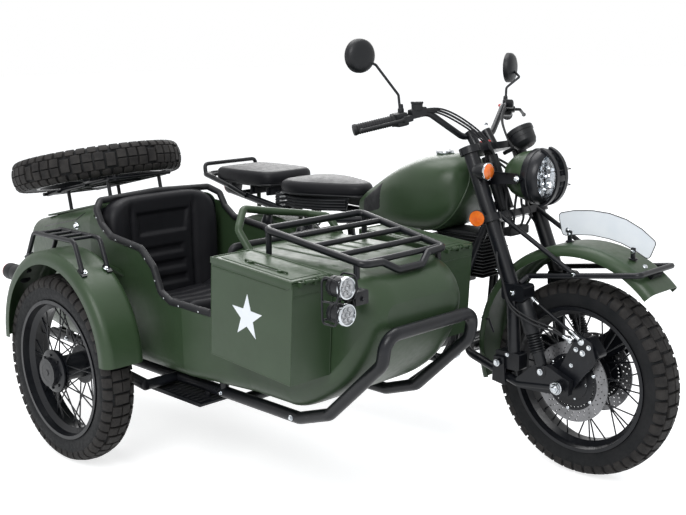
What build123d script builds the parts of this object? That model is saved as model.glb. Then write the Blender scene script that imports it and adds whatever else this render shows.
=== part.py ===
"""Sidecar motorcycle: a solo motorcycle with a one-seat sidecar on its right.

+X is forward, +Y is left and +Z is up. The origin lies on the floor, in the middle of the
vehicle's length and width. Places on the bike are measured from the rear axle's line, the
bike's centre plane and the floor; places on the sidecar's body from its own centre plane.
"""
import os
from math import cos, radians, sin

from build123d import *

# Driving dimensions, in millimetres and degrees
WHEELBASE = 1500
TYRE_RADIUS = 325
TYRE_WIDTH = 110
BEAD_RADIUS = 237
RIM_INNER_RADIUS = 210
HUB_HALF_WIDTH = 58
SPOKE_PAIRS = 9
SPOKE = 5
AXLE = 20
RUNNING_FIT = 0.05
SEAT_GAP = 0.3
LID_GAP = 1.5

HEAD_RAKE = 22.5
HEAD_TRAIL = 409
HEAD_HEIGHT = 1040
FORK_OFFSET = 30
LEG_SPREAD = 130
LEG = 50
STEM = 30
YOKE_DROP = 235
BRACKET_DROP = 480

CAR_OFFSET = 670
CAR_WHEEL_OUT = 430
CAR_WHEEL_OFFSET = CAR_OFFSET + CAR_WHEEL_OUT
CAR_WHEEL_FORWARD = 154
CAR_HALF_WIDTH = 275
NOSE_HALF_WIDTH = 232
HULL_WALL = 5
HULL_FLOOR = 340
DECK_HEIGHT = 790
TRUNK_FRONT = 80
TRUNK_HEIGHT = 856
TRUNK_SLOPE = 12
BOX_LENGTH = 350
BOX_WIDTH = 150
BOX_HEIGHT = 290
BOX_TILT = 4
BOX_SKIN = 3

SPARE_FORWARD = -290
SPARE_HEIGHT = 942

MAIN_TUBE = 32
RACK_TUBE = 18
CAR_TUBE = 38
CAR_CROSS_TUBE = 34
CAR_RAIL_SPREAD = 190
CAR_RAIL_HEIGHT = 302

HUB_CAP_REACH = 90
MIRROR_SPREAD = 400
MIRROR_DIAMETER = 110
SPARE_REACH = (
    TYRE_RADIUS * cos(radians(TRUNK_SLOPE)) + TYRE_WIDTH / 2 * sin(radians(TRUNK_SLOPE)) - SPARE_FORWARD
)
REAR_X = (SPARE_REACH - WHEELBASE - TYRE_RADIUS) / 2
BIKE_Y = (CAR_WHEEL_OFFSET + HUB_CAP_REACH - MIRROR_SPREAD - MIRROR_DIAMETER / 2) / 2


def at(forward, left, up):
    """A place on the bike."""
    return Vector(REAR_X + forward, BIKE_Y + left, up)


def front(forward, left, up):
    """A place on the front end, from the front axle's line."""
    return at(WHEELBASE + forward, left, up)


def car(forward, left, up):
    """A place on the sidecar's body, from its centre plane."""
    return at(forward, left - CAR_OFFSET, up)


def head(drop, ahead=0.0, left=0.0):
    """A place on the steering head: down its axis from the top yoke, ahead of it, to its left."""
    rake = radians(HEAD_RAKE)
    forward = WHEELBASE - HEAD_TRAIL + drop * sin(rake) + ahead * cos(rake)
    return at(forward, left, HEAD_HEIGHT - drop * cos(rake) + ahead * sin(rake))


def bent_tube(points, diameter, bend=0):
    """A round bar along straight runs, bent to one radius where they meet."""
    with BuildPart() as run:
        with BuildLine() as route:
            if bend:
                FilletPolyline(*points, radius=bend)
            else:
                Polyline(*points)
        with BuildSketch(Plane(origin=route.line @ 0, z_dir=route.line % 0)):
            Circle(diameter / 2)
        sweep(transition=Transition.ROUND)
    return run.part


def rod(start, end, diameter):
    """A straight round bar between two places."""
    with BuildPart() as bar:
        with BuildSketch(Plane(origin=start, z_dir=end - start)):
            Circle(diameter / 2)
        extrude(amount=(end - start).length)
    return bar.part


def pipe(start, end, diameter, bore):
    """A straight pipe between two places."""
    with BuildPart() as bar:
        with BuildSketch(Plane(origin=start, z_dir=end - start)):
            Circle(diameter / 2)
            Circle(bore / 2, mode=Mode.SUBTRACT)
        extrude(amount=(end - start).length)
    return bar.part


def side_plane(centre, tilt=0.0):
    """A plane along the vehicle through a place: x forward, turned nose down, and y up."""
    lean = radians(tilt)
    return Plane(origin=centre, x_dir=(cos(lean), 0, -sin(lean)), z_dir=(0, -1, 0))


def block(centre, length, width, height, tilt=0.0, edge=0.0):
    """A box about its centre, turned nose down by an angle, with its edges across rounded."""
    with BuildPart() as body:
        with BuildSketch(side_plane(centre, tilt)):
            if edge:
                RectangleRounded(length, height, edge)
            else:
                Rectangle(length, height)
        extrude(amount=width / 2, both=True)
    return body.part


def plate(outline, left, thickness, start=0):
    """A flat plate along the vehicle at one place across it, its outline given forward of a start and up."""
    with BuildPart() as sheet:
        with BuildSketch(side_plane(at(start, left, 0))):
            with BuildLine():
                Polyline(*outline, close=True)
            make_face()
        extrude(amount=thickness / 2, both=True)
    return sheet.part


def fender(centre, radius, half_width, depth, shoulder, first_angle, last_angle, skin=3):
    """An arched mudguard round a place, from a first to a last angle above straight ahead."""
    start = radians(first_angle)
    ahead = (cos(start), 0, sin(start))
    rim, crown, side = radius - depth, radius, half_width
    with BuildPart() as arch:
        with BuildSketch(Plane(origin=centre, x_dir=ahead, z_dir=(-sin(start), 0, cos(start)))):
            with BuildLine():
                outer = FilletPolyline(
                    (rim, -side), (crown, -side), (crown, side), (rim, side), radius=shoulder
                )
                inner = FilletPolyline(
                    (rim, side - skin),
                    (crown - skin, side - skin),
                    (crown - skin, skin - side),
                    (rim, skin - side),
                    radius=shoulder - skin,
                )
                Line(outer @ 1, inner @ 0)
                Line(inner @ 1, outer @ 0)
            make_face()
        revolve(axis=Axis(centre, (0, -1, 0)), revolution_arc=last_angle - first_angle)
    return arch.part


def across(points):
    """A route on the bike's right and its mirror on the left, joined front to back."""
    return [Vector(p) for p in points] + [Vector(p.X, 2 * BIKE_Y - p.Y, p.Z) for p in reversed(points)]


def finish(part, name):
    """Name a finished sub-part and write it."""
    part.label = name
    export_step(part, f"parts/{name}.step")


os.makedirs("parts", exist_ok=True)

# Wheels: four alike, each made round the origin with its axle along Y
with BuildPart() as tyre:
    with BuildSketch(Plane.XY):
        with BuildLine():
            Line((BEAD_RADIUS, -38), (BEAD_RADIUS + 6, -48))
            ThreePointArc((BEAD_RADIUS + 6, -48), (275, -TYRE_WIDTH / 2), (308, -48))
            ThreePointArc((308, -48), (TYRE_RADIUS, 0), (308, 48))
            ThreePointArc((308, 48), (275, TYRE_WIDTH / 2), (BEAD_RADIUS + 6, 48))
            Line((BEAD_RADIUS + 6, 48), (BEAD_RADIUS, 38))
            Line((BEAD_RADIUS, 38), (BEAD_RADIUS, -38))
        make_face()
    revolve(axis=Axis.Y)

SEAT_RADIUS = BEAD_RADIUS - SEAT_GAP
with BuildPart() as rim:
    with BuildSketch(Plane.XY):
        with BuildLine():
            Polyline(
                (RIM_INNER_RADIUS, -16), (226, -30), (230, -53), (242, -53), (242, -49.5), (SEAT_RADIUS, -46),
                (SEAT_RADIUS, 46), (242, 49.5), (242, 53), (230, 53), (226, 30), (RIM_INNER_RADIUS, 16),
                close=True,
            )
        make_face()
    revolve(axis=Axis.Y)
    with BuildSketch(Plane.XZ.offset(-HUB_HALF_WIDTH)):
        Circle(44)
    extrude(amount=2 * HUB_HALF_WIDTH)
    for side in (-1, 1):
        with BuildSketch(Plane.XZ.offset(side * (HUB_HALF_WIDTH - 10))):
            Circle(68)
        extrude(amount=4, both=True)
    spokes = []
    for side in (-1, 1):
        for pair in range(SPOKE_PAIRS):
            for lean in (-1, 1):
                middle = radians(360 / SPOKE_PAIRS * (pair + 0.25 * side))
                foot = middle + 0.06 * lean
                tip = middle + lean * radians(26)
                spokes.append(
                    rod(
                        Vector(62 * cos(foot), side * (HUB_HALF_WIDTH - 10), 62 * sin(foot)),
                        Vector(216 * cos(tip), side * 8, 216 * sin(tip)),
                        SPOKE,
                    )
                )
    add(spokes)
    with BuildSketch(Plane.XZ.offset(-HUB_HALF_WIDTH - 1)):
        Circle(AXLE / 2 + RUNNING_FIT)
    extrude(amount=2 * HUB_HALF_WIDTH + 2, mode=Mode.SUBTRACT)

with BuildPart() as disc:
    with BuildSketch(Plane.XZ.offset(-HUB_HALF_WIDTH - 19)):
        Circle(132)
        Circle(86, mode=Mode.SUBTRACT)
        Circle(40)
        with PolarLocations(63, 6):
            Rectangle(60, 18)
        Circle(AXLE / 2 + 4, mode=Mode.SUBTRACT)
    extrude(amount=5)
    with BuildSketch(Plane.XZ.offset(-HUB_HALF_WIDTH)):
        Circle(40)
        Circle(AXLE / 2 + 4, mode=Mode.SUBTRACT)
    extrude(amount=-15)

FRONT_AXLE = front(0, 0, TYRE_RADIUS)
REAR_AXLE = at(0, 0, TYRE_RADIUS)
CAR_AXLE = at(CAR_WHEEL_FORWARD, -CAR_WHEEL_OFFSET, TYRE_RADIUS)
SPARE_CENTRE = car(SPARE_FORWARD, 0, SPARE_HEIGHT)
LYING_DOWN = Location((0, 0, 0), (0, -TRUNK_SLOPE, 0)) * Location((0, 0, 0), (90, 0, 0))
for name, place in (
    ("front", Location(FRONT_AXLE)),
    ("rear", Location(REAR_AXLE)),
    ("sidecar", Location(CAR_AXLE)),
    ("spare", Location(SPARE_CENTRE) * LYING_DOWN),
):
    with BuildPart() as wheel_tyre:
        add(tyre.part.moved(place))
    finish(wheel_tyre.part, f"{name}_tyre")
    with BuildPart() as wheel_rim:
        add(rim.part.moved(place))
        if name == "sidecar":
            add(rod(at(CAR_WHEEL_FORWARD, -CAR_WHEEL_OFFSET - HUB_CAP_REACH, TYRE_RADIUS),
                    at(CAR_WHEEL_FORWARD, -CAR_WHEEL_OFFSET - HUB_HALF_WIDTH - 8, TYRE_RADIUS), 96))
            add(pipe(at(CAR_WHEEL_FORWARD, -CAR_WHEEL_OFFSET - HUB_HALF_WIDTH - 8, TYRE_RADIUS),
                     at(CAR_WHEEL_FORWARD, -CAR_WHEEL_OFFSET - HUB_HALF_WIDTH, TYRE_RADIUS), 96, 60))
    finish(wheel_rim.part, f"{name}_rim")

with BuildPart() as front_discs:
    add(disc.part.moved(Location(FRONT_AXLE)))
    mirror(about=Plane.XZ.offset(-BIKE_Y))
finish(front_discs.part, "front_discs")

# Steering: everything that turns with the handlebar, measured from the front axle's line
HEAD_DOWN = Vector(sin(radians(HEAD_RAKE)), 0, -cos(radians(HEAD_RAKE)))
HEAD_AHEAD = Vector(cos(radians(HEAD_RAKE)), 0, sin(radians(HEAD_RAKE)))
YOKE_THICKNESS = 24
YOKE_OUTLINE = [(-24, 0), (-14, 30), (12, 60), (4, 118), (30, 130), (56, 118), (52, 0)]
LINK_PIVOT = (-229, 362)
LINK_SPREAD = 132
LINK_LOOP = [
    front(18, -LINK_SPREAD, 322),
    front(-165, -LINK_SPREAD, 298),
    front(-410, -118, 364),
    front(-410, 118, 364),
    front(-165, LINK_SPREAD, 298),
    front(18, LINK_SPREAD, 322),
]
SHOCK_TOP = (-155, 582)
SHOCK_FOOT = (-73, 358)

with BuildPart() as front_shocks:
    for side in (-1, 1):
        top = front(SHOCK_TOP[0], side * LEG_SPREAD, SHOCK_TOP[1])
        foot = front(SHOCK_FOOT[0], side * LEG_SPREAD, SHOCK_FOOT[1])
        add(rod(top, top + (foot - top) * 0.62, 56))
        add(rod(top + (foot - top) * 0.62, foot, 34))
        add(rod(foot - Vector(0, 17, 0), foot + Vector(0, 17, 0), 40))
finish(front_shocks.part, "front_shocks")

with BuildPart() as fork:
    add(rod(head(-16), head(YOKE_DROP + 14), STEM))
    for drop in (0, YOKE_DROP):
        with BuildSketch(Plane(origin=head(drop), x_dir=HEAD_AHEAD, z_dir=-HEAD_DOWN)):
            Circle(34)
            with BuildLine():
                Polyline(*YOKE_OUTLINE)
                mirror(about=Plane.XZ)
            make_face()
            with Locations((FORK_OFFSET, LEG_SPREAD), (FORK_OFFSET, -LEG_SPREAD)):
                Circle(36)
        extrude(amount=YOKE_THICKNESS / 2, both=True)
    for side in (-1, 1):
        leg_top = head(-14, FORK_OFFSET, side * LEG_SPREAD)
        leg_foot = head(BRACKET_DROP + 20, FORK_OFFSET, side * LEG_SPREAD)
        add(rod(leg_top, leg_foot, LEG))
        add(rod(front(-197, side * LEG_SPREAD, 600), front(-188, side * LEG_SPREAD, 390), 44))
        add(block(front(-178, side * LEG_SPREAD, 606), 88, 60, 54, 0, 12))
        add(block(front(-200, side * LEG_SPREAD, 372), 96, 44, 58, 0, 8))
        pivot = front(LINK_PIVOT[0], side * LEG_SPREAD, LINK_PIVOT[1])
        add(rod(pivot - Vector(0, 40, 0), pivot + Vector(0, 40, 0), 18), mode=Mode.SUBTRACT)
    add(front_shocks.part, mode=Mode.SUBTRACT)
finish(fork.part, "fork")

with BuildPart() as front_link:
    add(bent_tube(LINK_LOOP, 30, 55))
    add(rod(front(0, -164, TYRE_RADIUS), front(0, 164, TYRE_RADIUS), AXLE))
    for side in (-1, 1):
        add(
            plate(
                [(-170, 286), (-50, 292), (32, 300), (34, 348), (-50, 382), (-100, 376), (-170, 316)],
                side * LINK_SPREAD,
                24,
                WHEELBASE,
            )
        )
        for face in (-1, 1):
            ear = side * (LEG_SPREAD + face * 27)
            add(plate([(-254, 296), (-200, 288), (-208, 382), (-248, 382)], ear, 9, WHEELBASE))
        add(block(front(-226, side * LEG_SPREAD, 314), 46, 62, 16))
        pivot = front(LINK_PIVOT[0], side * LEG_SPREAD, LINK_PIVOT[1])
        add(rod(pivot - Vector(0, 38, 0), pivot + Vector(0, 38, 0), 18))
        add(rod(front(0, side * 84, TYRE_RADIUS), front(0, side * 122, TYRE_RADIUS), 34))
        add(rod(front(0, side * 142, TYRE_RADIUS), front(0, side * 168, TYRE_RADIUS), 38))
    add(front_shocks.part, mode=Mode.SUBTRACT)
    add(fork.part, mode=Mode.SUBTRACT)
finish(front_link.part, "front_link")

FENDER_CENTRE = (3, 385)
FENDER_RADIUS = 385
FENDER_HALF_WIDTH = 86
with BuildPart() as front_fender:
    centre = front(FENDER_CENTRE[0], 0, FENDER_CENTRE[1])
    add(fender(centre, FENDER_RADIUS, FENDER_HALF_WIDTH, 34, 28, 45, 199))
finish(front_fender.part, "front_fender")

STAY_SPREAD = 101
with BuildPart() as fender_stays:
    add(
        bent_tube(
            across(
                [
                    front(-170, -LEG_SPREAD, 634),
                    front(-158, -STAY_SPREAD, 655),
                    front(240, -STAY_SPREAD, 714),
                ]
            ),
            18,
            12,
        )
    )
    for side in (-1, 1):
        add(rod(head(YOKE_DROP, 50, side * STAY_SPREAD), front(16, side * STAY_SPREAD, 684), 16))
        add(rod(front(-238, side * 84, 655), front(-238, side * 112, 655), 14))
    add(block(front(232, 0, 703), 26, 60, 16, 36))
    add(fork.part, mode=Mode.SUBTRACT)
    add(front_fender.part, mode=Mode.SUBTRACT)
    add(front_shocks.part, mode=Mode.SUBTRACT)
finish(fender_stays.part, "fender_stays")

with BuildPart() as number_plate:
    with BuildSketch(side_plane(front(0, 3, 0))):
        with BuildLine():
            Line((-100, 781), (-119, 853))
            ThreePointArc((-119, 853), (70, 872), (235, 800))
            Line((235, 800), (212, 742))
            ThreePointArc((212, 742), (70, 792), (-100, 781))
        make_face()
    extrude(amount=1.5, both=True)
    for foot_forward in (-70, 160):
        foot_height = FENDER_CENTRE[1] + (FENDER_RADIUS**2 - (foot_forward - FENDER_CENTRE[0]) ** 2) ** 0.5
        add(block(front(foot_forward, -3, foot_height + 27), 12, 9, 54))
    add(front_fender.part, mode=Mode.SUBTRACT)
finish(number_plate.part, "number_plate")

HEADLIGHT = (-210, 967)
with BuildPart() as headlight:
    with BuildSketch(side_plane(front(HEADLIGHT[0], 0, HEADLIGHT[1]))):
        with BuildLine():
            Line((-112, 0), (-112, 10))
            ThreePointArc((-112, 10), (-80, 66), (-10, 90))
            Polyline((-10, 90), (16, 90), (16, 98), (40, 98), (44, 86))
            ThreePointArc((44, 86), (60, 48), (66, 8))
            Polyline((66, 8), (66, 0), (-112, 0))
        make_face()
    revolve(axis=Axis(front(HEADLIGHT[0], 0, HEADLIGHT[1]), (1, 0, 0)))
finish(headlight.part, "headlight")

with BuildPart() as headlight_mount:
    for side in (-1, 1):
        add(plate([(-350, 938), (-215, 950), (-195, 967), (-215, 984), (-358, 984)], side * 97, 6, WHEELBASE))
        pivot = front(HEADLIGHT[0], side * 86, HEADLIGHT[1])
        add(rod(pivot, pivot + Vector(0, side * 20, 0), 20))
        add(rod(front(-342, side * 96, 960), front(-342, side * 118, 960), 20))
    for bar in (-42, 0, 42):
        reach = (98**2 - bar**2) ** 0.5
        add(
            bent_tube(
                [
                    front(HEADLIGHT[0] + 30, bar, HEADLIGHT[1] - reach - 4),
                    front(HEADLIGHT[0] + 92, bar, HEADLIGHT[1] - reach + 18),
                    front(HEADLIGHT[0] + 92, bar, HEADLIGHT[1] + reach - 18),
                    front(HEADLIGHT[0] + 30, bar, HEADLIGHT[1] + reach + 4),
                ],
                8,
                30,
            )
        )
    for height in (-32, 32):
        wire_end = front(HEADLIGHT[0] + 92, -72, HEADLIGHT[1] + height)
        add(rod(wire_end, wire_end + Vector(0, 144, 0), 4))
    add(pipe(front(HEADLIGHT[0] + 22, 0, HEADLIGHT[1]), front(HEADLIGHT[0] + 36, 0, HEADLIGHT[1]), 204, 196))
    add(headlight.part, mode=Mode.SUBTRACT)
    add(fork.part, mode=Mode.SUBTRACT)
finish(headlight_mount.part, "headlight_mount")

BAR_ROUTE = across([front(-636, -415, 1125), front(-500, -205, 1176), front(-454, -80, 1088)])
with BuildPart() as handlebar:
    add(bent_tube(BAR_ROUTE, 22, 45))
    for side in (-1, 1):
        foot = head(-12, -4, side * 45)
        add(rod(foot, front(-454, side * 45, 1102), 34))
    add(fork.part, mode=Mode.SUBTRACT)
finish(handlebar.part, "handlebar")

GRIP = 128
with BuildPart() as controls:
    for side in (-1, 1):
        end = front(-636, side * 415, 1125)
        along = (front(-500, side * 205, 1176) - end).normalized()
        across_bar = Vector(along.Y, -along.X, 0).normalized() * -side
        add(pipe(end, end + along * GRIP, 34, 22))
        add(pipe(end + along * GRIP, end + along * (GRIP + 42), 42, 22))
        lever_root = end + along * (GRIP + 30) + across_bar * 18
        lever_tip = end + along * 12 + across_bar * 62
        add(bent_tube([lever_root, lever_root + across_bar * 36, lever_tip], 11, 10))
finish(controls.part, "controls")

with BuildPart() as mirrors:
    for side, glass_forward, glass_height in ((-1, -623, 1363), (1, -610, 1303)):
        root = front(-549, side * 284, 1158)
        add(
            bent_tube(
                [
                    root,
                    front(-552, side * 292, 1235),
                    front(-596, side * 352, glass_height - 30),
                    front(glass_forward + 14, side * MIRROR_SPREAD, glass_height - 8),
                ],
                9,
                20,
            )
        )
        glass = front(glass_forward, side * MIRROR_SPREAD, glass_height)
        add(rod(glass - Vector(8, 0, 0), glass + Vector(12, 0, 0), MIRROR_DIAMETER))
        add(rod(root + Vector(0, 0, 12), root + Vector(0, 0, 36), 18))
    add(handlebar.part, mode=Mode.SUBTRACT)
    add(controls.part, mode=Mode.SUBTRACT)
finish(mirrors.part, "mirrors")

with BuildPart() as gauge:
    tilt = Vector(-0.42, 0, 0.9)
    face = front(-310, 40, 1112)
    add(rod(face - tilt * 56, face, 84))
    add(rod(head(0, 40, 40), face - tilt * 50, 14))
    add(fork.part, mode=Mode.SUBTRACT)
finish(gauge.part, "gauge")

with BuildPart() as indicators:
    for side in (-1, 1):
        add(rod(front(-322, side * 164, 992), front(-266, side * 164, 992), 52))
        add(rod(front(-304, side * 145, 992), front(-354, side * 140, 988), 12))
    add(fork.part, mode=Mode.SUBTRACT)
finish(indicators.part, "indicators")

DISC_RADIUS = 132
SLOT_RADIUS = DISC_RADIUS + 5
with BuildPart() as calipers:
    for side in (-1, 1):
        add(block(front(62, side * 80, 440), 86, 44, 76, -38, 14))
        slot = rod(front(0, side * 67, TYRE_RADIUS), front(0, side * 82, TYRE_RADIUS), 2 * SLOT_RADIUS)
        add(slot, mode=Mode.SUBTRACT)
        bracket = [(-16, 312), (26, 312), (110, 420), (90, 480), (40, 500), (-30, 360)]
        add(plate(bracket, side * 108, 8, WHEELBASE))
        add(rod(front(60, side * 96, 440), front(60, side * 112, 440), 26))
        add(rod(front(-155, side * 112, 596), front(56, side * 112, 478), 12))
        add(rod(front(0, side * 104, TYRE_RADIUS), front(0, side * 112, TYRE_RADIUS), 60))
    add(front_link.part, mode=Mode.SUBTRACT)
    add(front_shocks.part, mode=Mode.SUBTRACT)
    add(fork.part, mode=Mode.SUBTRACT)
finish(calipers.part, "calipers")

# Bike chassis
DOWN_TUBE = [(WHEELBASE - 356, 24, 868), (1064, 84, 600), (1030, 100, 372), (985, 100, 300)]
CRADLE_REAR = [(345, 116, 300), (332, 116, 560), (305, 112, 745)]
RAIL_ROUTE = [(560, 60, 752), (470, 105, 745), (140, 105, 752), (-170, 105, 800)]
SWING_PIVOT = (340, 400)
REAR_SHOCK_TOP = (96, 742)
REAR_SHOCK_FOOT = (24, 372)
REAR_SHOCK_SPREAD = 136

with BuildPart() as frame:
    add(rod(head(22), head(YOKE_DROP - 22), 56))
    add(bent_tube([head(90), at(980, 0, 872), at(560, 0, 752)], 44, 60))
    for side in (-1, 1):
        lower = [at(f, side * s, u) for f, s, u in DOWN_TUBE + CRADLE_REAR]
        add(bent_tube(lower, MAIN_TUBE, 40))
        add(bent_tube([at(f, side * s, u) for f, s, u in RAIL_ROUTE], 28, 60))
        shock_pin = at(REAR_SHOCK_TOP[0], side * 100, REAR_SHOCK_TOP[1])
        add(rod(shock_pin, shock_pin + Vector(0, side * 56, 0), 16))
        add(rod(at(440, side * 100, 300), at(440, side * 262, 292), 26))
    for forward, spread, height in (
        (560, 66, 752),
        (140, 105, 752),
        (-120, 105, 792),
        (385, 115, 300),
        (1030, 100, 372),
    ):
        add(rod(at(forward, -spread, height), at(forward, spread, height), 24))
    add(rod(head(16), head(YOKE_DROP - 16), STEM + 2 * RUNNING_FIT), mode=Mode.SUBTRACT)
finish(frame.part, "frame")

ENGINE_SIDE = 82
with BuildPart() as engine:
    add(block(at(690, 0, 452), 520, 2 * ENGINE_SIDE, 272, 0, 40))
    add(rod(at(820, -ENGINE_SIDE - 34, 430), at(820, ENGINE_SIDE + 34, 430), 190))
    add(rod(at(600, -ENGINE_SIDE - 26, 420), at(600, ENGINE_SIDE + 26, 420), 150))
    add(block(at(905, 0, 590), 190, 150, 60, 0, 8))
    add(block(at(1010, 0, 684), 250, 146, 158, 0, 14))
    add(frame.part, mode=Mode.SUBTRACT)
finish(engine.part, "engine")

with BuildPart() as exhaust:
    add(
        bent_tube(
            [
                at(1110, 66, 668),
                at(1110, 128, 590),
                at(1062, 146, 400),
                at(960, 150, 322),
                at(420, 176, 322),
            ],
            40,
            55,
        )
    )
    add(bent_tube([at(420, 176, 322), at(360, 196, 340), at(-260, 214, 372)], 40, 30))
    add(rod(at(330, 197, 341.6), at(-230, 213, 370.5), 92))
    add(rod(at(337, 112, 440), at(300, 190, 372), 14))
    add(frame.part, mode=Mode.SUBTRACT)
    add(engine.part, mode=Mode.SUBTRACT)
finish(exhaust.part, "exhaust")

with BuildPart() as swing_arm:
    add(rod(at(SWING_PIVOT[0], -112, SWING_PIVOT[1]), at(SWING_PIVOT[0], 112, SWING_PIVOT[1]), 22))
    for side in (-1, 1):
        boss = at(SWING_PIVOT[0], side * 84, SWING_PIVOT[1])
        add(rod(boss, boss + Vector(0, side * 14, 0), 52))
        add(rod(boss + Vector(0, side * 4, 0), at(-22, side * 88, 322), 34))
        add(rod(at(0, side * 68, TYRE_RADIUS), at(0, side * 112, TYRE_RADIUS), 46))
        shock_foot = at(REAR_SHOCK_FOOT[0], side * 80, REAR_SHOCK_FOOT[1])
        add(rod(shock_foot, shock_foot + Vector(0, side * 74, 0), 16))
        add(rod(shock_foot - Vector(0, 0, 44), shock_foot + Vector(0, 0, 8), 16))
    add(rod(at(0, -126, TYRE_RADIUS), at(0, 126, TYRE_RADIUS), AXLE))
    add(rod(at(0, 68, TYRE_RADIUS), at(0, 112, TYRE_RADIUS), 150))
    add(frame.part, mode=Mode.SUBTRACT)
finish(swing_arm.part, "swing_arm")

CAR_SHOCK_TOP = car(104, -322, 640)
CAR_SHOCK_FOOT = car(196, -322, 330)
with BuildPart() as rear_shocks:
    for side in (-1, 1):
        top = at(REAR_SHOCK_TOP[0], side * REAR_SHOCK_SPREAD, REAR_SHOCK_TOP[1])
        foot = at(REAR_SHOCK_FOOT[0], side * REAR_SHOCK_SPREAD, REAR_SHOCK_FOOT[1])
        add(rod(top + (foot - top) * 0.1, top + (foot - top) * 0.72, 52))
        add(rod(top, foot, 20))
        for eye in (top, foot):
            add(rod(eye - Vector(0, 14, 0), eye + Vector(0, 14, 0), 36))
    car_shock = CAR_SHOCK_FOOT - CAR_SHOCK_TOP
    add(rod(CAR_SHOCK_TOP + car_shock * 0.1, CAR_SHOCK_TOP + car_shock * 0.72, 48))
    add(rod(CAR_SHOCK_TOP, CAR_SHOCK_FOOT, 20))
    for eye in (CAR_SHOCK_TOP, CAR_SHOCK_FOOT):
        add(rod(eye - Vector(0, 14, 0), eye + Vector(0, 14, 0), 36))
    add(frame.part, mode=Mode.SUBTRACT)
    add(swing_arm.part, mode=Mode.SUBTRACT)
finish(rear_shocks.part, "rear_shocks")

# Tank sections: forward, half width, underside, top, corner radius
TANK_SECTIONS = (
    (500, 34, 752, 808, 20),
    (590, 84, 746, 876, 40),
    (720, 130, 742, 954, 54),
    (870, 148, 742, 1008, 70),
    (980, 138, 772, 1016, 70),
    (1046, 100, 838, 978, 56),
)
with BuildPart() as fuel_tank:
    for forward, half_width, underside, top, corner in TANK_SECTIONS:
        middle = at(forward, 0, (underside + top) / 2)
        with BuildSketch(Plane(origin=middle, x_dir=(0, 1, 0), z_dir=(1, 0, 0))):
            RectangleRounded(2 * half_width, top - underside, corner)
    loft()
    add(rod(at(903, 0, 1000), at(900, 0, 1032), 62))
    tunnel = [(500, 740), (560, 775), (980, 895), (1080, 923), (1130, 950), (1130, 700), (500, 700)]
    add(plate(tunnel, 0, 2 * (22 + SEAT_GAP)), mode=Mode.SUBTRACT)
    add(frame.part, mode=Mode.SUBTRACT)
    add(engine.part, mode=Mode.SUBTRACT)
finish(fuel_tank.part, "fuel_tank")

SADDLE_PLAN = [(130, 0), (130, 112), (170, 136), (290, 136), (470, 72), (520, 40), (528, 0)]
PILLION_PLAN = [(-262, 0), (-262, 118), (-236, 140), (70, 132), (96, 110), (96, 0)]
with BuildPart() as seats:
    for outline, underside, top in ((SADDLE_PLAN, 826, 884), (PILLION_PLAN, 840, 902)):
        with BuildSketch(Plane(origin=at(0, 0, underside))):
            with BuildLine():
                Polyline(*outline)
                mirror(about=Plane.XZ)
            make_face()
        extrude(amount=top - underside)
    fillet(seats.edges().group_by(Axis.Z)[-1], radius=18)
    for forward, spread in ((170, 92), (500, 0)):
        for side in (-1, 1) if spread else (1,):
            add(rod(at(forward, side * spread, 760), at(forward, side * spread, 828), 46))
    add(frame.part, mode=Mode.SUBTRACT)
    add(fuel_tank.part, mode=Mode.SUBTRACT)
finish(seats.part, "seats")

with BuildPart() as tail_rack:
    add(
        bent_tube(
            across([at(-60, -118, 790), at(-140, -140, 826), at(-300, -140, 862), at(-366, -70, 852)]),
            22,
            32,
        )
    )
    for forward in (-40, 60):
        add(block(at(forward, 0, 820), 26, 200, 40))
        for side in (-1, 1):
            add(rod(at(forward, side * 104, 800), at(forward, side * 104, 830), 14))
    add(rod(at(-285, -138, 858), at(-285, 138, 858), 14))
    add(frame.part, mode=Mode.SUBTRACT)
    add(seats.part, mode=Mode.SUBTRACT)
finish(tail_rack.part, "tail_rack")

REAR_FENDER_RADIUS = 384
with BuildPart() as rear_fender:
    add(fender(at(0, 0, TYRE_RADIUS), REAR_FENDER_RADIUS, 78, 40, 28, 62, 196))
    for forward, height in ((140, 752), (-120, 792)):
        crown = TYRE_RADIUS + (REAR_FENDER_RADIUS**2 - forward**2) ** 0.5
        add(rod(at(forward, 0, crown - 6), at(forward, 0, height), 18))
    add(frame.part, mode=Mode.SUBTRACT)
finish(rear_fender.part, "rear_fender")

# Sidecar
# Hull sections: forward, half width, underside, top, corner radius
HULL_REAR_SECTIONS = (
    (-575, 130, 520, 650, 50),
    (-540, 172, 425, 700, 60),
    (-440, 215, 346, 745.5, 60),
    (-200, 252, HULL_FLOOR, 796.5, 60),
    (TRUNK_FRONT, CAR_HALF_WIDTH, HULL_FLOOR, TRUNK_HEIGHT, 60),
    (600, CAR_HALF_WIDTH, HULL_FLOOR, 812, 55),
    (880, NOSE_HALF_WIDTH, HULL_FLOOR, DECK_HEIGHT + 2, 55),
    (1040, NOSE_HALF_WIDTH, HULL_FLOOR, DECK_HEIGHT, 55),
)
HULL_NOSE_SECTIONS = (
    (1040, NOSE_HALF_WIDTH, HULL_FLOOR, DECK_HEIGHT, 55),
    (1120, NOSE_HALF_WIDTH, 358, DECK_HEIGHT, 58),
    (1210, 230, 406, 787, 66),
    (1310, 218, 490, 770, 85),
    (1362, 192, 566, 738, 84),
    (1385, 150, 618, 696, 38),
)
# The cockpit's sides, cut down for the passenger's leg: forward, up
SIDE_CUT = [
    (106, 920), (106, 852), (148, 800), (205, 762), (385, 742), (450, 690), (486, 612),
    (540, 588), (724, 578), (772, 604), (792, 690), (802, 800), (806, 920),
]


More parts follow.
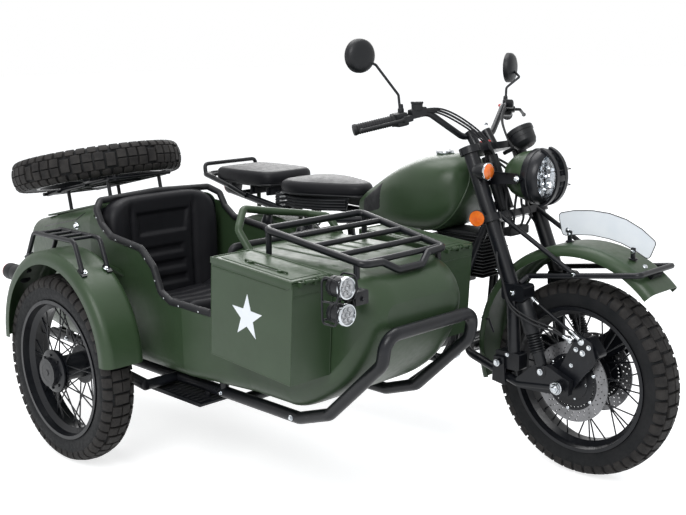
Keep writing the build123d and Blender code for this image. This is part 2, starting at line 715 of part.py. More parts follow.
def hull_block(inset):
    """The hull's outside, drawn in all round by an inset."""
    with BuildPart() as shape:
        for sections, straight in ((HULL_REAR_SECTIONS, True), (HULL_NOSE_SECTIONS, False)):
            for forward, half_width, underside, top, corner in sections:
                place = forward
                if sections is HULL_REAR_SECTIONS and forward == sections[0][0]:
                    place = forward + inset
                if sections is HULL_NOSE_SECTIONS and forward == sections[-1][0]:
                    place = forward - inset
                middle = car(place, 0, (underside + top) / 2)
                with BuildSketch(Plane(origin=middle, x_dir=(0, 1, 0), z_dir=(1, 0, 0))):
                    RectangleRounded(2 * (half_width - inset), top - underside - 2 * inset, corner - inset)
            loft(ruled=straight)
    return shape.part


TRUNK_LEAN = radians(TRUNK_SLOPE)
TRUNK_AHEAD = Vector(cos(TRUNK_LEAN), 0, sin(TRUNK_LEAN))
TRUNK_UP = Vector(-sin(TRUNK_LEAN), 0, cos(TRUNK_LEAN))


def trunk(back, left, above):
    """A place over the trunk: back along its sloping top from its front, left, and above it."""
    return car(TRUNK_FRONT, left, TRUNK_HEIGHT) - TRUNK_AHEAD * back + TRUNK_UP * above


def trunk_plane(above=0.0):
    """A plane over the trunk's sloping top: x back and z away from it."""
    return Plane(origin=trunk(0, 0, above), x_dir=-TRUNK_AHEAD, z_dir=TRUNK_UP)


TRUNK_OPENING = (66, 416, 186)
TRUNK_PIN = 8
TRUNK_PIN_BACK = 30
TRUNK_PIN_HEIGHT = 14
TRUNK_HINGE_SPREAD = 110
TRUNK_KNUCKLE = 32
hull = hull_block(0)
with BuildPart() as sidecar_body:
    add(hull)
    add(hull_block(HULL_WALL), mode=Mode.SUBTRACT)
    # The sides' low line beside the seat
    with BuildSketch(side_plane(car(0, 0, 0))):
        with BuildLine():
            Polyline(*SIDE_CUT, close=True)
        make_face()
    extrude(amount=400, both=True, mode=Mode.SUBTRACT)
    # The cockpit's opening, between the seat back's wall and the dash
    with BuildSketch(Plane(origin=car(0, 0, 500))):
        with BuildLine():
            Polyline((96, 0), (96, 268), (616, 268), (776, 240), (812, 200), (812, 0))
            mirror(about=Plane.XZ)
        make_face()
    extrude(amount=600, mode=Mode.SUBTRACT)
    # The trunk's opening, under its lid
    with BuildSketch(trunk_plane()):
        with Locations(((TRUNK_OPENING[0] + TRUNK_OPENING[1]) / 2, 0)):
            RectangleRounded(TRUNK_OPENING[1] - TRUNK_OPENING[0], 2 * TRUNK_OPENING[2], 24)
    extrude(amount=40, both=True, mode=Mode.SUBTRACT)
    # The trunk lid's two hinge pins, each held by an ear at either end
    for middle in (-TRUNK_HINGE_SPREAD, TRUNK_HINGE_SPREAD):
        add(
            rod(
                trunk(TRUNK_PIN_BACK, middle - 24, TRUNK_PIN_HEIGHT),
                trunk(TRUNK_PIN_BACK, middle + 24, TRUNK_PIN_HEIGHT),
                TRUNK_PIN,
            )
        )
        for left in (middle - 20, middle + 20):
            add(block(trunk(TRUNK_PIN_BACK, left, 8), 12, 6, 22, -TRUNK_SLOPE))
finish(sidecar_body.part, "sidecar_body")

CAR_FENDER_CENTRE = at(160, -CAR_WHEEL_OFFSET + 5, 400)
with BuildPart() as sidecar_fender:
    add(fender(CAR_FENDER_CENTRE, 340, 75, 46, 30, 0, 182))
    for forward in (60, 270):
        add(rod(car(forward, -CAR_HALF_WIDTH + 5, 640), car(forward, -CAR_HALF_WIDTH - 84, 700), 16))
    add(hull, mode=Mode.SUBTRACT)
finish(sidecar_fender.part, "sidecar_fender")

with BuildPart() as tail_lamps:
    add(rod(at(-262, 0, 798), at(-318, 0, 798), 70))
    add(rod(at(-285, 0, 798), at(-285, 0, 858), 12))
    add(rod(car(-112, -430, 608), car(-236, -430, 608), 60))
    add(rod(car(-130, -430, 608), car(-60, -430, 640), 14))
    add(tail_rack.part, mode=Mode.SUBTRACT)
    add(sidecar_fender.part, mode=Mode.SUBTRACT)
finish(tail_lamps.part, "tail_lamps")

RACK_REACH = 47
with BuildPart() as fender_rack:
    for left in (-RACK_REACH, RACK_REACH):
        middle = CAR_FENDER_CENTRE + Vector(0, left, 0)
        add(
            bent_tube(
                [
                    middle + Vector(-161, 0, 305.5),
                    middle + Vector(-112, 0, 388),
                    middle + Vector(146, 0, 388),
                    middle + Vector(184, 0, 291),
                ],
                16,
                28,
            )
        )
        add(block(middle + Vector(-158.8, 0, 303.5), 36, 18, 7, -27.6))
        add(block(middle + Vector(183.4, 0, 289.5), 36, 18, 7, 32.3))
    for forward in (-90, -25, 40, 105):
        middle = CAR_FENDER_CENTRE + Vector(forward, 0, 388)
        add(rod(middle - Vector(0, RACK_REACH, 0), middle + Vector(0, RACK_REACH, 0), 12))
    add(sidecar_fender.part, mode=Mode.SUBTRACT)
finish(fender_rack.part, "fender_rack")

# Inside and outer fittings of the sidecar's body
with BuildPart() as seat_base:
    add(block(car(92, 0, 606), HULL_WALL, 2 * CAR_HALF_WIDTH, 600))
    add(block(car(284, 0, 462), 379, 500, 12))
    add(block(car(470, 0, 402), 8, 500, 130))
    add(hull_block(HULL_WALL + SEAT_GAP), mode=Mode.INTERSECT)
finish(seat_base.part, "seat_base")

with BuildPart() as seat_cushion:
    add(block(car(316, 0, 518), 350, 470, 96, -4, 30))
    add(seat_base.part, mode=Mode.SUBTRACT)
finish(seat_cushion.part, "seat_cushion")

with BuildPart() as seat_back:
    with BuildSketch(Plane(origin=car(96, 0, 480), x_dir=(0, 1, 0), z_dir=(1, 0, 0))):
        with Locations((0, 200)):
            RectangleRounded(488, 400, 70)
    extrude(amount=64)
    add(seat_base.part, mode=Mode.SUBTRACT)
    add(seat_cushion.part, mode=Mode.SUBTRACT)
    add(sidecar_body.part, mode=Mode.SUBTRACT)
finish(seat_back.part, "seat_back")

COAMING_ROUTE = [
    (94, 0, 884), (94, -236, 874), (122, -270, 850), (152, -271, 802), (207, -271, 766),
    (385, -271, 746), (452, -271, 692), (488, -271, 614), (542, -271, 590), (724, -252, 580),
    (774, -246, 606), (798, -240, 700), (812, -226, 798), (820, -190, 800), (820, 0, 800),
]
with BuildPart() as coaming:
    add(bent_tube([car(*place) for place in COAMING_ROUTE], 24, 16))
    mirror(about=Plane.XZ.offset(CAR_OFFSET - BIKE_Y))
    add(sidecar_body.part, mode=Mode.SUBTRACT)
    add(seat_back.part, mode=Mode.SUBTRACT)
finish(coaming.part, "coaming")

with BuildPart() as grab_bar:
    add(
        bent_tube(
            [
                car(860, -196, 786), car(816, -206, 850), car(776, -150, 905), car(768, -40, 884),
                car(772, 120, 856), car(816, 176, 846), car(860, 190, 786),
            ],
            24,
            28,
        )
    )
    add(hull, mode=Mode.SUBTRACT)
    add(coaming.part, mode=Mode.SUBTRACT)
finish(grab_bar.part, "grab_bar")

# Nose rack: two side rails that draw together ahead, cross bars between them and four legs
RACK_REAR = (940, 205, 867)
RACK_FRONT = (1318, 172, 806)
with BuildPart() as nose_rack:
    corners = [
        car(RACK_REAR[0], -RACK_REAR[1], RACK_REAR[2]),
        car(RACK_REAR[0], RACK_REAR[1], RACK_REAR[2]),
        car(RACK_FRONT[0], RACK_FRONT[1], RACK_FRONT[2]),
        car(RACK_FRONT[0], 96, RACK_FRONT[2] - 4),
        car(RACK_FRONT[0] + 18, 50, RACK_FRONT[2] - 30),
        car(RACK_FRONT[0] + 18, -50, RACK_FRONT[2] - 30),
        car(RACK_FRONT[0], -96, RACK_FRONT[2] - 4),
        car(RACK_FRONT[0], -RACK_FRONT[1], RACK_FRONT[2]),
    ]
    with BuildLine() as outline:
        FilletPolyline(*corners, radius=22, close=True)
    with BuildSketch(Plane(origin=outline.line @ 0, z_dir=outline.line % 0)):
        Circle(11)
    sweep(path=outline.line)
    for share in (0.25, 0.5, 0.75, 0.97):
        forward, spread, up = (r + share * (f - r) for r, f in zip(RACK_REAR, RACK_FRONT))
        add(rod(car(forward, -spread, up), car(forward, spread, up), RACK_TUBE))
    for share, foot in ((0.04, DECK_HEIGHT - 4), (0.93, 756)):
        forward, spread, up = (r + share * (f - r) for r, f in zip(RACK_REAR, RACK_FRONT))
        for side in (-1, 1):
            add(rod(car(forward, side * spread, foot), car(forward, side * spread, up), RACK_TUBE))
    add(hull, mode=Mode.SUBTRACT)
finish(nose_rack.part, "nose_rack")

# Ammunition boxes, one on each side of the nose, and their lids
BOX_CENTRE = (1072, NOSE_HALF_WIDTH + SEAT_GAP + BOX_WIDTH / 2, 644)
BOX_LEAN = radians(BOX_TILT)
BOX_AHEAD = Vector(cos(BOX_LEAN), 0, -sin(BOX_LEAN))
BOX_UP = Vector(sin(BOX_LEAN), 0, cos(BOX_LEAN))
HINGE_PIN = 6
HINGE_AHEAD = 8
HINGE_SPREAD = 44


def boxed(side, ahead, left, up):
    """A place on an ammunition box, from its middle, along its own leaning sides."""
    return car(BOX_CENTRE[0], side * BOX_CENTRE[1] + left, BOX_CENTRE[2]) + BOX_AHEAD * ahead + BOX_UP * up


HINGE = (BOX_LENGTH / 2 + HINGE_AHEAD, BOX_HEIGHT / 2 + 2)
with BuildPart() as ammo_boxes:
    for side in (-1, 1):
        add(block(boxed(side, 0, 0, 0), BOX_LENGTH, BOX_WIDTH, BOX_HEIGHT, BOX_TILT))
        add(
            block(
                boxed(side, 0, 0, 5),
                BOX_LENGTH - 2 * BOX_SKIN,
                BOX_WIDTH - 2 * BOX_SKIN,
                BOX_HEIGHT,
                BOX_TILT,
            ),
            mode=Mode.SUBTRACT,
        )
        hinge_middle = boxed(side, HINGE[0], 0, HINGE[1])
        pin_end = Vector(0, HINGE_SPREAD + 12, 0)
        add(rod(hinge_middle - pin_end, hinge_middle + pin_end, HINGE_PIN))
        for left in (-HINGE_SPREAD - 8, 0, HINGE_SPREAD + 8):
            add(block(boxed(side, HINGE[0] - 3, left, HINGE[1] - 5), 12, 8, 14, BOX_TILT))
finish(ammo_boxes.part, "ammo_boxes")

for side, name in ((-1, "outer_box_lid"), (1, "inner_box_lid")):
    with BuildPart() as lid:
        top = BOX_HEIGHT / 2 + LID_GAP + BOX_SKIN / 2
        add(block(boxed(side, -BOX_SKIN / 2, 0, top), BOX_LENGTH - BOX_SKIN, BOX_WIDTH, BOX_SKIN, BOX_TILT))
        for left in (-26, 26):
            axis_place = boxed(side, HINGE[0], left, HINGE[1])
            add(block(boxed(side, HINGE[0] - 8, left, top), 12, 24, BOX_SKIN, BOX_TILT))
            add(rod(axis_place - Vector(0, 12, 0), axis_place + Vector(0, 12, 0), HINGE_PIN + 6))
        for left in (-26, 26):
            axis_place = boxed(side, HINGE[0], left, HINGE[1])
            bore = HINGE_PIN + 2 * RUNNING_FIT
            add(rod(axis_place - Vector(0, 13, 0), axis_place + Vector(0, 13, 0), bore), mode=Mode.SUBTRACT)
    finish(lid.part, name)

with BuildPart() as side_lamps:
    for up in (782, 710):
        add(rod(car(1352, -330, up), car(1412, -330, up), 62))
    add(rod(car(1372, -330, 800), car(1372, -330, 692), 26))
    add(rod(car(1300, -200, 746), car(1372, -330, 746), 22))
    add(hull, mode=Mode.SUBTRACT)
finish(side_lamps.part, "side_lamps")

with BuildPart() as bull_bar:
    rail_side = [
        car(880, -CAR_RAIL_SPREAD, CAR_RAIL_HEIGHT),
        car(1060, -CAR_RAIL_SPREAD, CAR_RAIL_HEIGHT),
        car(1190, -CAR_RAIL_SPREAD, 345),
        car(1402, -CAR_RAIL_SPREAD, 540),
        car(1416, -CAR_RAIL_SPREAD, 622),
    ]
    other_side = [Vector(p.X, 2 * (BIKE_Y - CAR_OFFSET) - p.Y, p.Z) for p in reversed(rail_side)]
    add(bent_tube(rail_side + other_side, CAR_TUBE, 45))
finish(bull_bar.part, "bull_bar")

CAR_ARM_PIVOT = (450, 300)
# The four mounts: their route on the sidecar's side, the joint's place, the anchor on the bike's frame
MOUNTS = (
    ([car(1150, 190, 332)], at(1073, -149, 357), at(1032, -100, 372)),
    ([car(960, 190, 302)], at(1075, -135, 600), at(1067, -88, 600)),
    ([car(-20, 190, 302)], at(340, -160, 330), at(343, -116, 330)),
    ([car(60, 190, 302), car(60, 300, 306)], at(312, -150, 690), at(312, -113, 690)),
)


def rail(forward, side, up=CAR_RAIL_HEIGHT):
    """A place over or on the middle of one of the sidecar's two rails."""
    return car(forward, side * CAR_RAIL_SPREAD, up)


with BuildPart() as sidecar_frame:
    for side in (-1, 1):
        add(rod(rail(-380, side), rail(880, side), CAR_TUBE))
    for forward in (-360, 154, 800):
        add(rod(rail(forward, -1), rail(forward, 1), CAR_CROSS_TUBE))
    for forward in (-250, 154, 700):
        for side in (-1, 1):
            add(rod(rail(forward, side), rail(forward, side, HULL_FLOOR), 30))
    add(rod(car(CAR_ARM_PIVOT[0], -322, CAR_ARM_PIVOT[1]), rail(CAR_ARM_PIVOT[0], -1), CAR_CROSS_TUBE))
    add(rod(car(CAR_ARM_PIVOT[0], -322, CAR_ARM_PIVOT[1]), car(CAR_WHEEL_FORWARD - 20, -322, 327), CAR_TUBE))
    axle_end = car(CAR_WHEEL_FORWARD, -CAR_WHEEL_OUT - 62, TYRE_RADIUS)
    add(rod(car(CAR_WHEEL_FORWARD, -302, TYRE_RADIUS), axle_end, AXLE))
    add(rod(car(CAR_WHEEL_FORWARD, -302, TYRE_RADIUS), car(CAR_WHEEL_FORWARD, -360, TYRE_RADIUS), 44))
    add(
        bent_tube(
            [rail(60, -1), car(60, -300, CAR_RAIL_HEIGHT), car(60, -300, 640), car(120, -300, 640)],
            26,
            40,
        )
    )
    add(rod(CAR_SHOCK_TOP, CAR_SHOCK_TOP + Vector(0, 22, 0), 14))
    add(hull, mode=Mode.SUBTRACT)
    add(bull_bar.part, mode=Mode.SUBTRACT)
    add(rear_shocks.part, mode=Mode.SUBTRACT)
    add(sidecar_fender.part, mode=Mode.SUBTRACT)
finish(sidecar_frame.part, "sidecar_frame")

with BuildPart() as mount_struts:
    for route, joint, anchor in MOUNTS:
        add(bent_tube(route + [joint], 28, 24 if len(route) > 1 else 0))
        with Locations(joint):
            Sphere(24)
        add(rod(joint, anchor, 22))
    add(bull_bar.part, mode=Mode.SUBTRACT)
    add(sidecar_frame.part, mode=Mode.SUBTRACT)
    add(frame.part, mode=Mode.SUBTRACT)
    add(engine.part, mode=Mode.SUBTRACT)
    add(hull, mode=Mode.SUBTRACT)
finish(mount_struts.part, "mount_struts")

with BuildPart() as step:
    add(block(car(505, -175, 262), 310, 170, 12, 0, 4))
    for forward in (400, 610):
        add(rod(car(forward, -CAR_RAIL_SPREAD, 264), car(forward, -CAR_RAIL_SPREAD, CAR_RAIL_HEIGHT), 22))
    add(sidecar_frame.part, mode=Mode.SUBTRACT)
finish(step.part, "step")

# Trunk lid with the rack and the spare wheel it carries
LID_SIZE = (400, 410)
with BuildPart() as trunk_lid:
    with BuildSketch(trunk_plane(LID_GAP)):
        with Locations(((TRUNK_OPENING[0] + TRUNK_OPENING[1]) / 2, 0)):
            RectangleRounded(LID_SIZE[0], LID_SIZE[1], 30)
    extrude(amount=6)
    for left in (-TRUNK_HINGE_SPREAD, TRUNK_HINGE_SPREAD):
        pin = trunk(TRUNK_PIN_BACK, left, TRUNK_PIN_HEIGHT)
        half = Vector(0, TRUNK_KNUCKLE / 2, 0)
        add(rod(pin - half, pin + half, 2 * TRUNK_PIN))
        add(block(trunk(TRUNK_PIN_BACK + 17, left, 11), 34, TRUNK_KNUCKLE, 8, -TRUNK_SLOPE))
        add(rod(pin - half * 1.1, pin + half * 1.1, TRUNK_PIN + 2 * RUNNING_FIT), mode=Mode.SUBTRACT)
finish(trunk_lid.part, "trunk_lid")

SPARE_BEHIND = TRUNK_FRONT - SPARE_FORWARD
SPARE_OVER = SPARE_HEIGHT - TRUNK_HEIGHT
SPARE_BACK = SPARE_BEHIND * cos(TRUNK_LEAN) - SPARE_OVER * sin(TRUNK_LEAN)
SPARE_ABOVE = SPARE_BEHIND * sin(TRUNK_LEAN) + SPARE_OVER * cos(TRUNK_LEAN)
SPARE_POST_TOP = SPARE_ABOVE - HUB_HALF_WIDTH - SEAT_GAP
SPARE_CLEARANCE = 5.3
RACK_DECK = SPARE_ABOVE - TYRE_WIDTH / 2 - SPARE_CLEARANCE - RACK_TUBE / 2
RAIL_SPREAD = 112
CROSS_BAR = RACK_TUBE - 4
with BuildPart() as spare_rack:
    for left in (-RAIL_SPREAD, RAIL_SPREAD):
        add(rod(trunk(64, left, RACK_DECK), trunk(560, left, RACK_DECK), RACK_TUBE))
    for back in (70, 240, 448, 552):
        add(rod(trunk(back, -136, RACK_DECK), trunk(back, 136, RACK_DECK), CROSS_BAR))
    for back in (110, 400):
        for left in (-RAIL_SPREAD, RAIL_SPREAD):
            add(rod(trunk(back, left, 4), trunk(back, left, RACK_DECK), CROSS_BAR))
    add(rod(trunk(SPARE_BACK, 0, RACK_DECK - 8), trunk(SPARE_BACK, 0, SPARE_POST_TOP), 70))
    add(rod(trunk(SPARE_BACK, -RAIL_SPREAD, RACK_DECK), trunk(SPARE_BACK, RAIL_SPREAD, RACK_DECK), CROSS_BAR))
    add(trunk_lid.part, mode=Mode.SUBTRACT)
finish(spare_rack.part, "spare_rack")
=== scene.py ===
"""Looks of the sidecar motorcycle: paint, tread, cushions, lamps and small fittings, with a plain studio.

Vectors are in metres. The sizes that a shape takes are in millimetres, as the places in at() and car() are.
"""
from math import cos, pi, radians, sin, sqrt, tan

import bmesh
import bpy
from mathutils import Matrix, Vector


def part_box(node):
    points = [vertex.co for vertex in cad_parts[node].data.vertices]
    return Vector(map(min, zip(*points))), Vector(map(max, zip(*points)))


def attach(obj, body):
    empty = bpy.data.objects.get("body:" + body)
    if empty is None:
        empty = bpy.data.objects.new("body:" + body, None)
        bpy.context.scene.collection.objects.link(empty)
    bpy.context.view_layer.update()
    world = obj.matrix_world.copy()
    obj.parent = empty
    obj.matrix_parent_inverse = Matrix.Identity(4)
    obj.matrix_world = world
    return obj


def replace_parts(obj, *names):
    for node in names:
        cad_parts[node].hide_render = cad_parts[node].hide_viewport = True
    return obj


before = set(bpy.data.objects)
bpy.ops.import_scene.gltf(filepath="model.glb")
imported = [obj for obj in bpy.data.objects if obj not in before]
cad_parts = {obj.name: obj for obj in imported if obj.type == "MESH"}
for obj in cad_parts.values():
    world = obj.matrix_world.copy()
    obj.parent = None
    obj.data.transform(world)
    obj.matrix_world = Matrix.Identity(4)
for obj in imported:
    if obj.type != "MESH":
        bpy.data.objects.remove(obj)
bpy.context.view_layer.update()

SIDES = (-1, 1)
WHEELBASE = 1500
TYRE_RADIUS = 325
CAR_OFFSET = 670
AXLE = sum(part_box("rear_rim"), Vector()) / 2
X, Y, Z = Vector((1, 0, 0)), Vector((0, 1, 0)), Vector((0, 0, 1))


def at(forward, left, up):
    """A place on the bike, in millimetres from the rear axle's line, the centre plane and the floor."""
    return Vector((AXLE.x + forward / 1000, AXLE.y + left / 1000, up / 1000))


def car(forward, left, up):
    """A place on the sidecar's body, from its own centre plane."""
    return at(forward, left - CAR_OFFSET, up)


# Materials
def fill(node, **values):
    """Sets a shader node's inputs. An underscore in a name stands for a space."""
    for name, value in values.items():
        node.inputs[name.replace("_", " ")].default_value = value
    return node


def noise(tree, scale, detail):
    """A noise over the piece's own places, in cells per metre."""
    place = tree.nodes.new("ShaderNodeTexCoord")
    texture = fill(tree.nodes.new("ShaderNodeTexNoise"), Scale=scale, Detail=detail)
    tree.links.new(place.outputs["Object"], texture.inputs["Vector"])
    return texture.outputs["Fac"]


def ramp(tree, factor, low, high):
    """A value between two others by a noise around its middle."""
    node = fill(tree.nodes.new("ShaderNodeMapRange"), From_Min=0.3, From_Max=0.7, To_Min=low, To_Max=high)
    tree.links.new(factor, node.inputs["Value"])
    return node.outputs["Result"]


def material(name, dark, light, rough, metallic=0.0, blotch=9.0, grain=900.0, bump=0.15, height=0.0003,
             coat=0.0, specular=0.5, transmission=0.0):
    """A surface whose colour and gloss drift between two values, with a fine grain in relief."""
    made = bpy.data.materials.new(name)
    made.use_nodes = True
    tree = made.node_tree
    shader = fill(tree.nodes["Principled BSDF"], Metallic=metallic, Specular_IOR_Level=specular,
                  Coat_Weight=coat, Coat_Roughness=0.25, Transmission_Weight=transmission)
    mix = tree.nodes.new("ShaderNodeMix")
    mix.data_type = "RGBA"
    fill(mix, A=(*dark, 1), B=(*light, 1))
    tree.links.new(ramp(tree, noise(tree, blotch, 5.0), 0, 1), mix.inputs["Factor"])
    tree.links.new(mix.outputs["Result"], shader.inputs["Base Color"])
    tree.links.new(ramp(tree, noise(tree, blotch * 6, 4.0), *rough), shader.inputs["Roughness"])
    relief = fill(tree.nodes.new("ShaderNodeBump"), Strength=bump, Distance=height)
    tree.links.new(noise(tree, grain, 2.0), relief.inputs["Height"])
    tree.links.new(relief.outputs["Normal"], shader.inputs["Normal"])
    return made


OLIVE = material("olive_paint", (0.027, 0.049, 0.022), (0.033, 0.059, 0.028), (0.33, 0.43), grain=600,
                 bump=0.12, specular=0.36)
BLACK = material("black_coat", (0.0045, 0.005, 0.0065), (0.008, 0.009, 0.012), (0.27, 0.38), grain=1300,
                 bump=0.2, specular=0.32)
PLASTIC = material("black_plastic", (0.006, 0.0065, 0.008), (0.010, 0.011, 0.013), (0.38, 0.50), grain=1500,
                   bump=0.25, specular=0.32)
RUBBER = material("trim_rubber", (0.006, 0.007, 0.008), (0.012, 0.012, 0.014), (0.48, 0.62), grain=1100,
                  bump=0.3, specular=0.32)
TYRE = material("tyre_rubber", (0.007, 0.008, 0.009), (0.017, 0.017, 0.018), (0.50, 0.72), blotch=14,
                grain=700, bump=0.45, height=0.0006, specular=0.16)
TREAD = material("tread_rubber", (0.016, 0.015, 0.015), (0.036, 0.033, 0.031), (0.60, 0.80), blotch=30,
                 grain=700, bump=0.5, height=0.0006, specular=0.2)
VINYL = material("seat_vinyl", (0.008, 0.008, 0.010), (0.013, 0.013, 0.015), (0.40, 0.52), grain=800,
                 bump=0.35, height=0.0005, specular=0.17)
CHROME = material("chrome", (0.50, 0.53, 0.56), (0.62, 0.64, 0.66), (0.08, 0.20), metallic=1.0, blotch=60,
                  bump=0.05)
STEEL = material("bare_steel", (0.30, 0.31, 0.32), (0.46, 0.46, 0.47), (0.26, 0.42), metallic=1.0, blotch=40,
                 grain=500, bump=0.12)
DISC = material("disc_steel", (0.17, 0.17, 0.175), (0.25, 0.25, 0.26), (0.30, 0.42), metallic=0.9, blotch=25,
                grain=800, bump=0.15)
ENGINE = material("engine_black", (0.006, 0.0065, 0.0075), (0.012, 0.013, 0.014), (0.36, 0.50), grain=420,
                  bump=0.4, height=0.0006, specular=0.34)
WHITE = material("white_paint", (0.84, 0.88, 0.92), (0.90, 0.93, 0.96), (0.32, 0.44), blotch=18, grain=700,
                 bump=0.06, specular=0.4)
ORANGE = material("orange_lens", (0.80, 0.13, 0.010), (0.95, 0.22, 0.02), (0.08, 0.18), blotch=60, grain=500,
                  bump=0.4, height=0.0008, coat=0.6)
RED = material("red_lens", (0.42, 0.008, 0.006), (0.60, 0.02, 0.012), (0.08, 0.18), blotch=60, grain=500,
               bump=0.4, height=0.0008, coat=0.6)
MIRROR = material("mirror_glass", (0.62, 0.66, 0.70), (0.70, 0.73, 0.76), (0.03, 0.06), metallic=1.0,
                  bump=0.01)
GLASS = material("lamp_glass", (0.9, 0.93, 0.95), (0.97, 0.98, 1.0), (0.02, 0.05), grain=160, bump=0.06,
                 transmission=1.0)


# Routes and directions
CORNER_STEPS = 6


def run(route, left, place=at):
    """Places on a plane along the vehicle, from distances ahead and up."""
    return [place(forward, left, up) for forward, up in route]


def across_both(half):
    """A route from the right side over to the left, from its left half."""
    return [at(forward, -left, up) for forward, left, up in half] + [at(*place) for place in half[::-1]]


def rounded(points, bend, loop=False):
    """A route with each corner rounded to a radius, as far as its runs allow."""
    if not bend:
        return list(points)
    count = len(points)
    route = []
    for i, corner in enumerate(points):
        before, after = points[i - 1] - corner, points[(i + 1) % count] - corner
        turn = 0 if not loop and i in (0, count - 1) else pi - before.angle(after)
        if turn < 0.02:
            route.append(corner)
            continue
        back = min(bend / 1000 * abs(tan(turn / 2)), before.length * 0.49, after.length * 0.49)
        start, end = corner + before.normalized() * back, corner + after.normalized() * back
        for step in range(CORNER_STEPS + 1):
            t = step / CORNER_STEPS
            route.append(start * (1 - t) ** 2 + corner * 2 * t * (1 - t) + end * t**2)
    return route


def spline(values, i, t):
    """A Catmull-Rom curve's value on the run after place i, with the end values repeated."""
    a, b = values[max(i - 1, 0)], values[i]
    c, d = values[i + 1], values[min(i + 2, len(values) - 1)]
    return 0.5 * (2 * b + (c - a) * t + (2 * a - 5 * b + 4 * c - d) * t**2 + (3 * b - a - 3 * c + d) * t**3)


def smooth(points, steps=8):
    """A Catmull-Rom curve through the points."""
    return [spline(points, i, k / steps) for i in range(len(points) - 1) for k in range(steps)] + [points[-1]]


def square(axis):
    """Two unit directions at right angles to an axis."""
    axis = axis.normalized()
    side = axis.cross(Z if abs(axis.z) < 0.9 else X).normalized()
    return side, axis.cross(side)


def spoke(across, up, angle):
    """The direction at an angle from one direction towards another."""
    return across * cos(angle) + up * sin(angle)


def angles(count, lead=0.0):
    """The angles of evenly spread places, the first one a share of a gap along."""
    return [2 * pi * (k + lead) / count for k in range(count)]


class Shape:
    """A mesh in the making: forms are added at their real places and made into one object."""

    def __init__(self):
        self.mesh = bmesh.new()
        self.vert, self.face = self.mesh.verts.new, self.mesh.faces.new

    def skin(self, rings, loop=False):
        """Faces between closed rings of points, with capped ends unless the last ring meets the first."""
        made = [[self.vert(p) for p in ring] for ring in rings]
        for one, two in list(zip(made, made[1:])) + ([(made[-1], made[0])] if loop else []):
            for i in range(len(one)):
                j = (i + 1) % len(one)
                self.face([one[i], one[j], two[j], two[i]])
        if not loop:
            self.face(made[0][::-1])
            self.face(made[-1])
        return self

    def tube(self, points, radius, bend=0.0, sides=10, loop=False):
        """A round tube along a route."""
        route = rounded(points, bend, loop)
        count = len(route)
        ahead = []
        for i in range(count):
            before = route[i - 1] if i or loop else route[i]
            after = route[(i + 1) % count] if i < count - 1 or loop else route[i]
            ahead.append((after - before).normalized())
        side, _ = square(ahead[0])
        rings = []
        for place, way in zip(route, ahead):
            side = (side - way * side.dot(way)).normalized()
            rings.append([place + spoke(side, way.cross(side), a) * (radius / 1000) for a in angles(sides)])
        return self.skin(rings, loop)

    def lathe(self, origin, axis, profile, sides, ring=False):
        """A turned form: the profile gives places along the axis and radii. A ring's closes on itself."""
        axis = axis.normalized()
        side, up = square(axis)
        rings = []
        for along, radius in profile:
            centre, reach = origin + axis * (along / 1000), max(radius, 0.02) / 1000
            rings.append([centre + spoke(side, up, a) * reach for a in angles(sides)])
        return self.skin(rings, ring)

    def box(self, centre, size, edge=0.0, axes=(X, Y, Z), steps=2):
        """A box about its centre, its sizes along three directions, with rounded edges."""
        half = [a.normalized() * s / 2000 for a, s in zip(axes, size)]
        corners = [self.vert(centre + half[0] * i + half[1] * j + half[2] * k)
                   for i in SIDES for j in SIDES for k in SIDES]
        sheets = ((0, 1, 3, 2), (4, 6, 7, 5), (0, 4, 5, 1), (2, 3, 7, 6), (0, 2, 6, 4), (1, 5, 7, 3))
        faces = [self.face([corners[i] for i in ids]) for ids in sheets]
        if edge:
            edges = list({e for f in faces for e in f.edges})
            bmesh.ops.bevel(self.mesh, geom=edges, offset=edge / 1000, segments=steps, affect="EDGES",
                            profile=0.6)

    def slab(self, outline, thickness):
        """A flat plate: an outline of places and its thickness, grown both ways."""
        normal = sum((a.cross(b) for a, b in zip(outline, outline[1:] + outline[:1])), Vector()).normalized()
        self.skin([[p + normal * side * thickness / 2000 for p in outline] for side in SIDES])

    def bolt(self, place, axis, radius=6, washer=True):
        """A hexagon head standing off a surface, on a washer."""
        base = 1.2 if washer else 0
        if washer:
            self.lathe(place, axis, [(-2, radius * 1.5), (base, radius * 1.5), (1.4, radius * 1.1)], 16)
        head = [(base - 2, radius), (base + radius * 0.75, radius), (base + radius * 0.95, radius * 0.8)]
        self.lathe(place, axis, head, 6)

    def make(self, name, body, slot, look, sharp=38):
        """The finished object, riding on a body and taking its finish from the given material; the slot is
        not used.
        """
        bmesh.ops.recalc_face_normals(self.mesh, faces=self.mesh.faces)
        data = bpy.data.meshes.new(name)
        self.mesh.to_mesh(data)
        self.mesh.free()
        for polygon in data.polygons:
            polygon.use_smooth = True
        data.set_sharp_from_angle(angle=radians(sharp))
        made = bpy.data.objects.new(name, data)
        bpy.context.scene.collection.objects.link(made)
        data.materials.append(look)
        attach(made, body)
        return made


def paint(look, *nodes):
    """A CAD node's own surface gets a worked material."""
    for node in nodes:
        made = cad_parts[node]
        made.data.materials.clear()
        made.data.materials.append(look)


def on_skin(node, start, way):
    """Where a line from a place first meets a CAD node's surface."""
    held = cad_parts[node]
    back = held.matrix_world.inverted()
    hit, spot, _, _ = held.ray_cast(back @ start, back.to_3x3() @ way)
    return held.matrix_world @ spot if hit else None


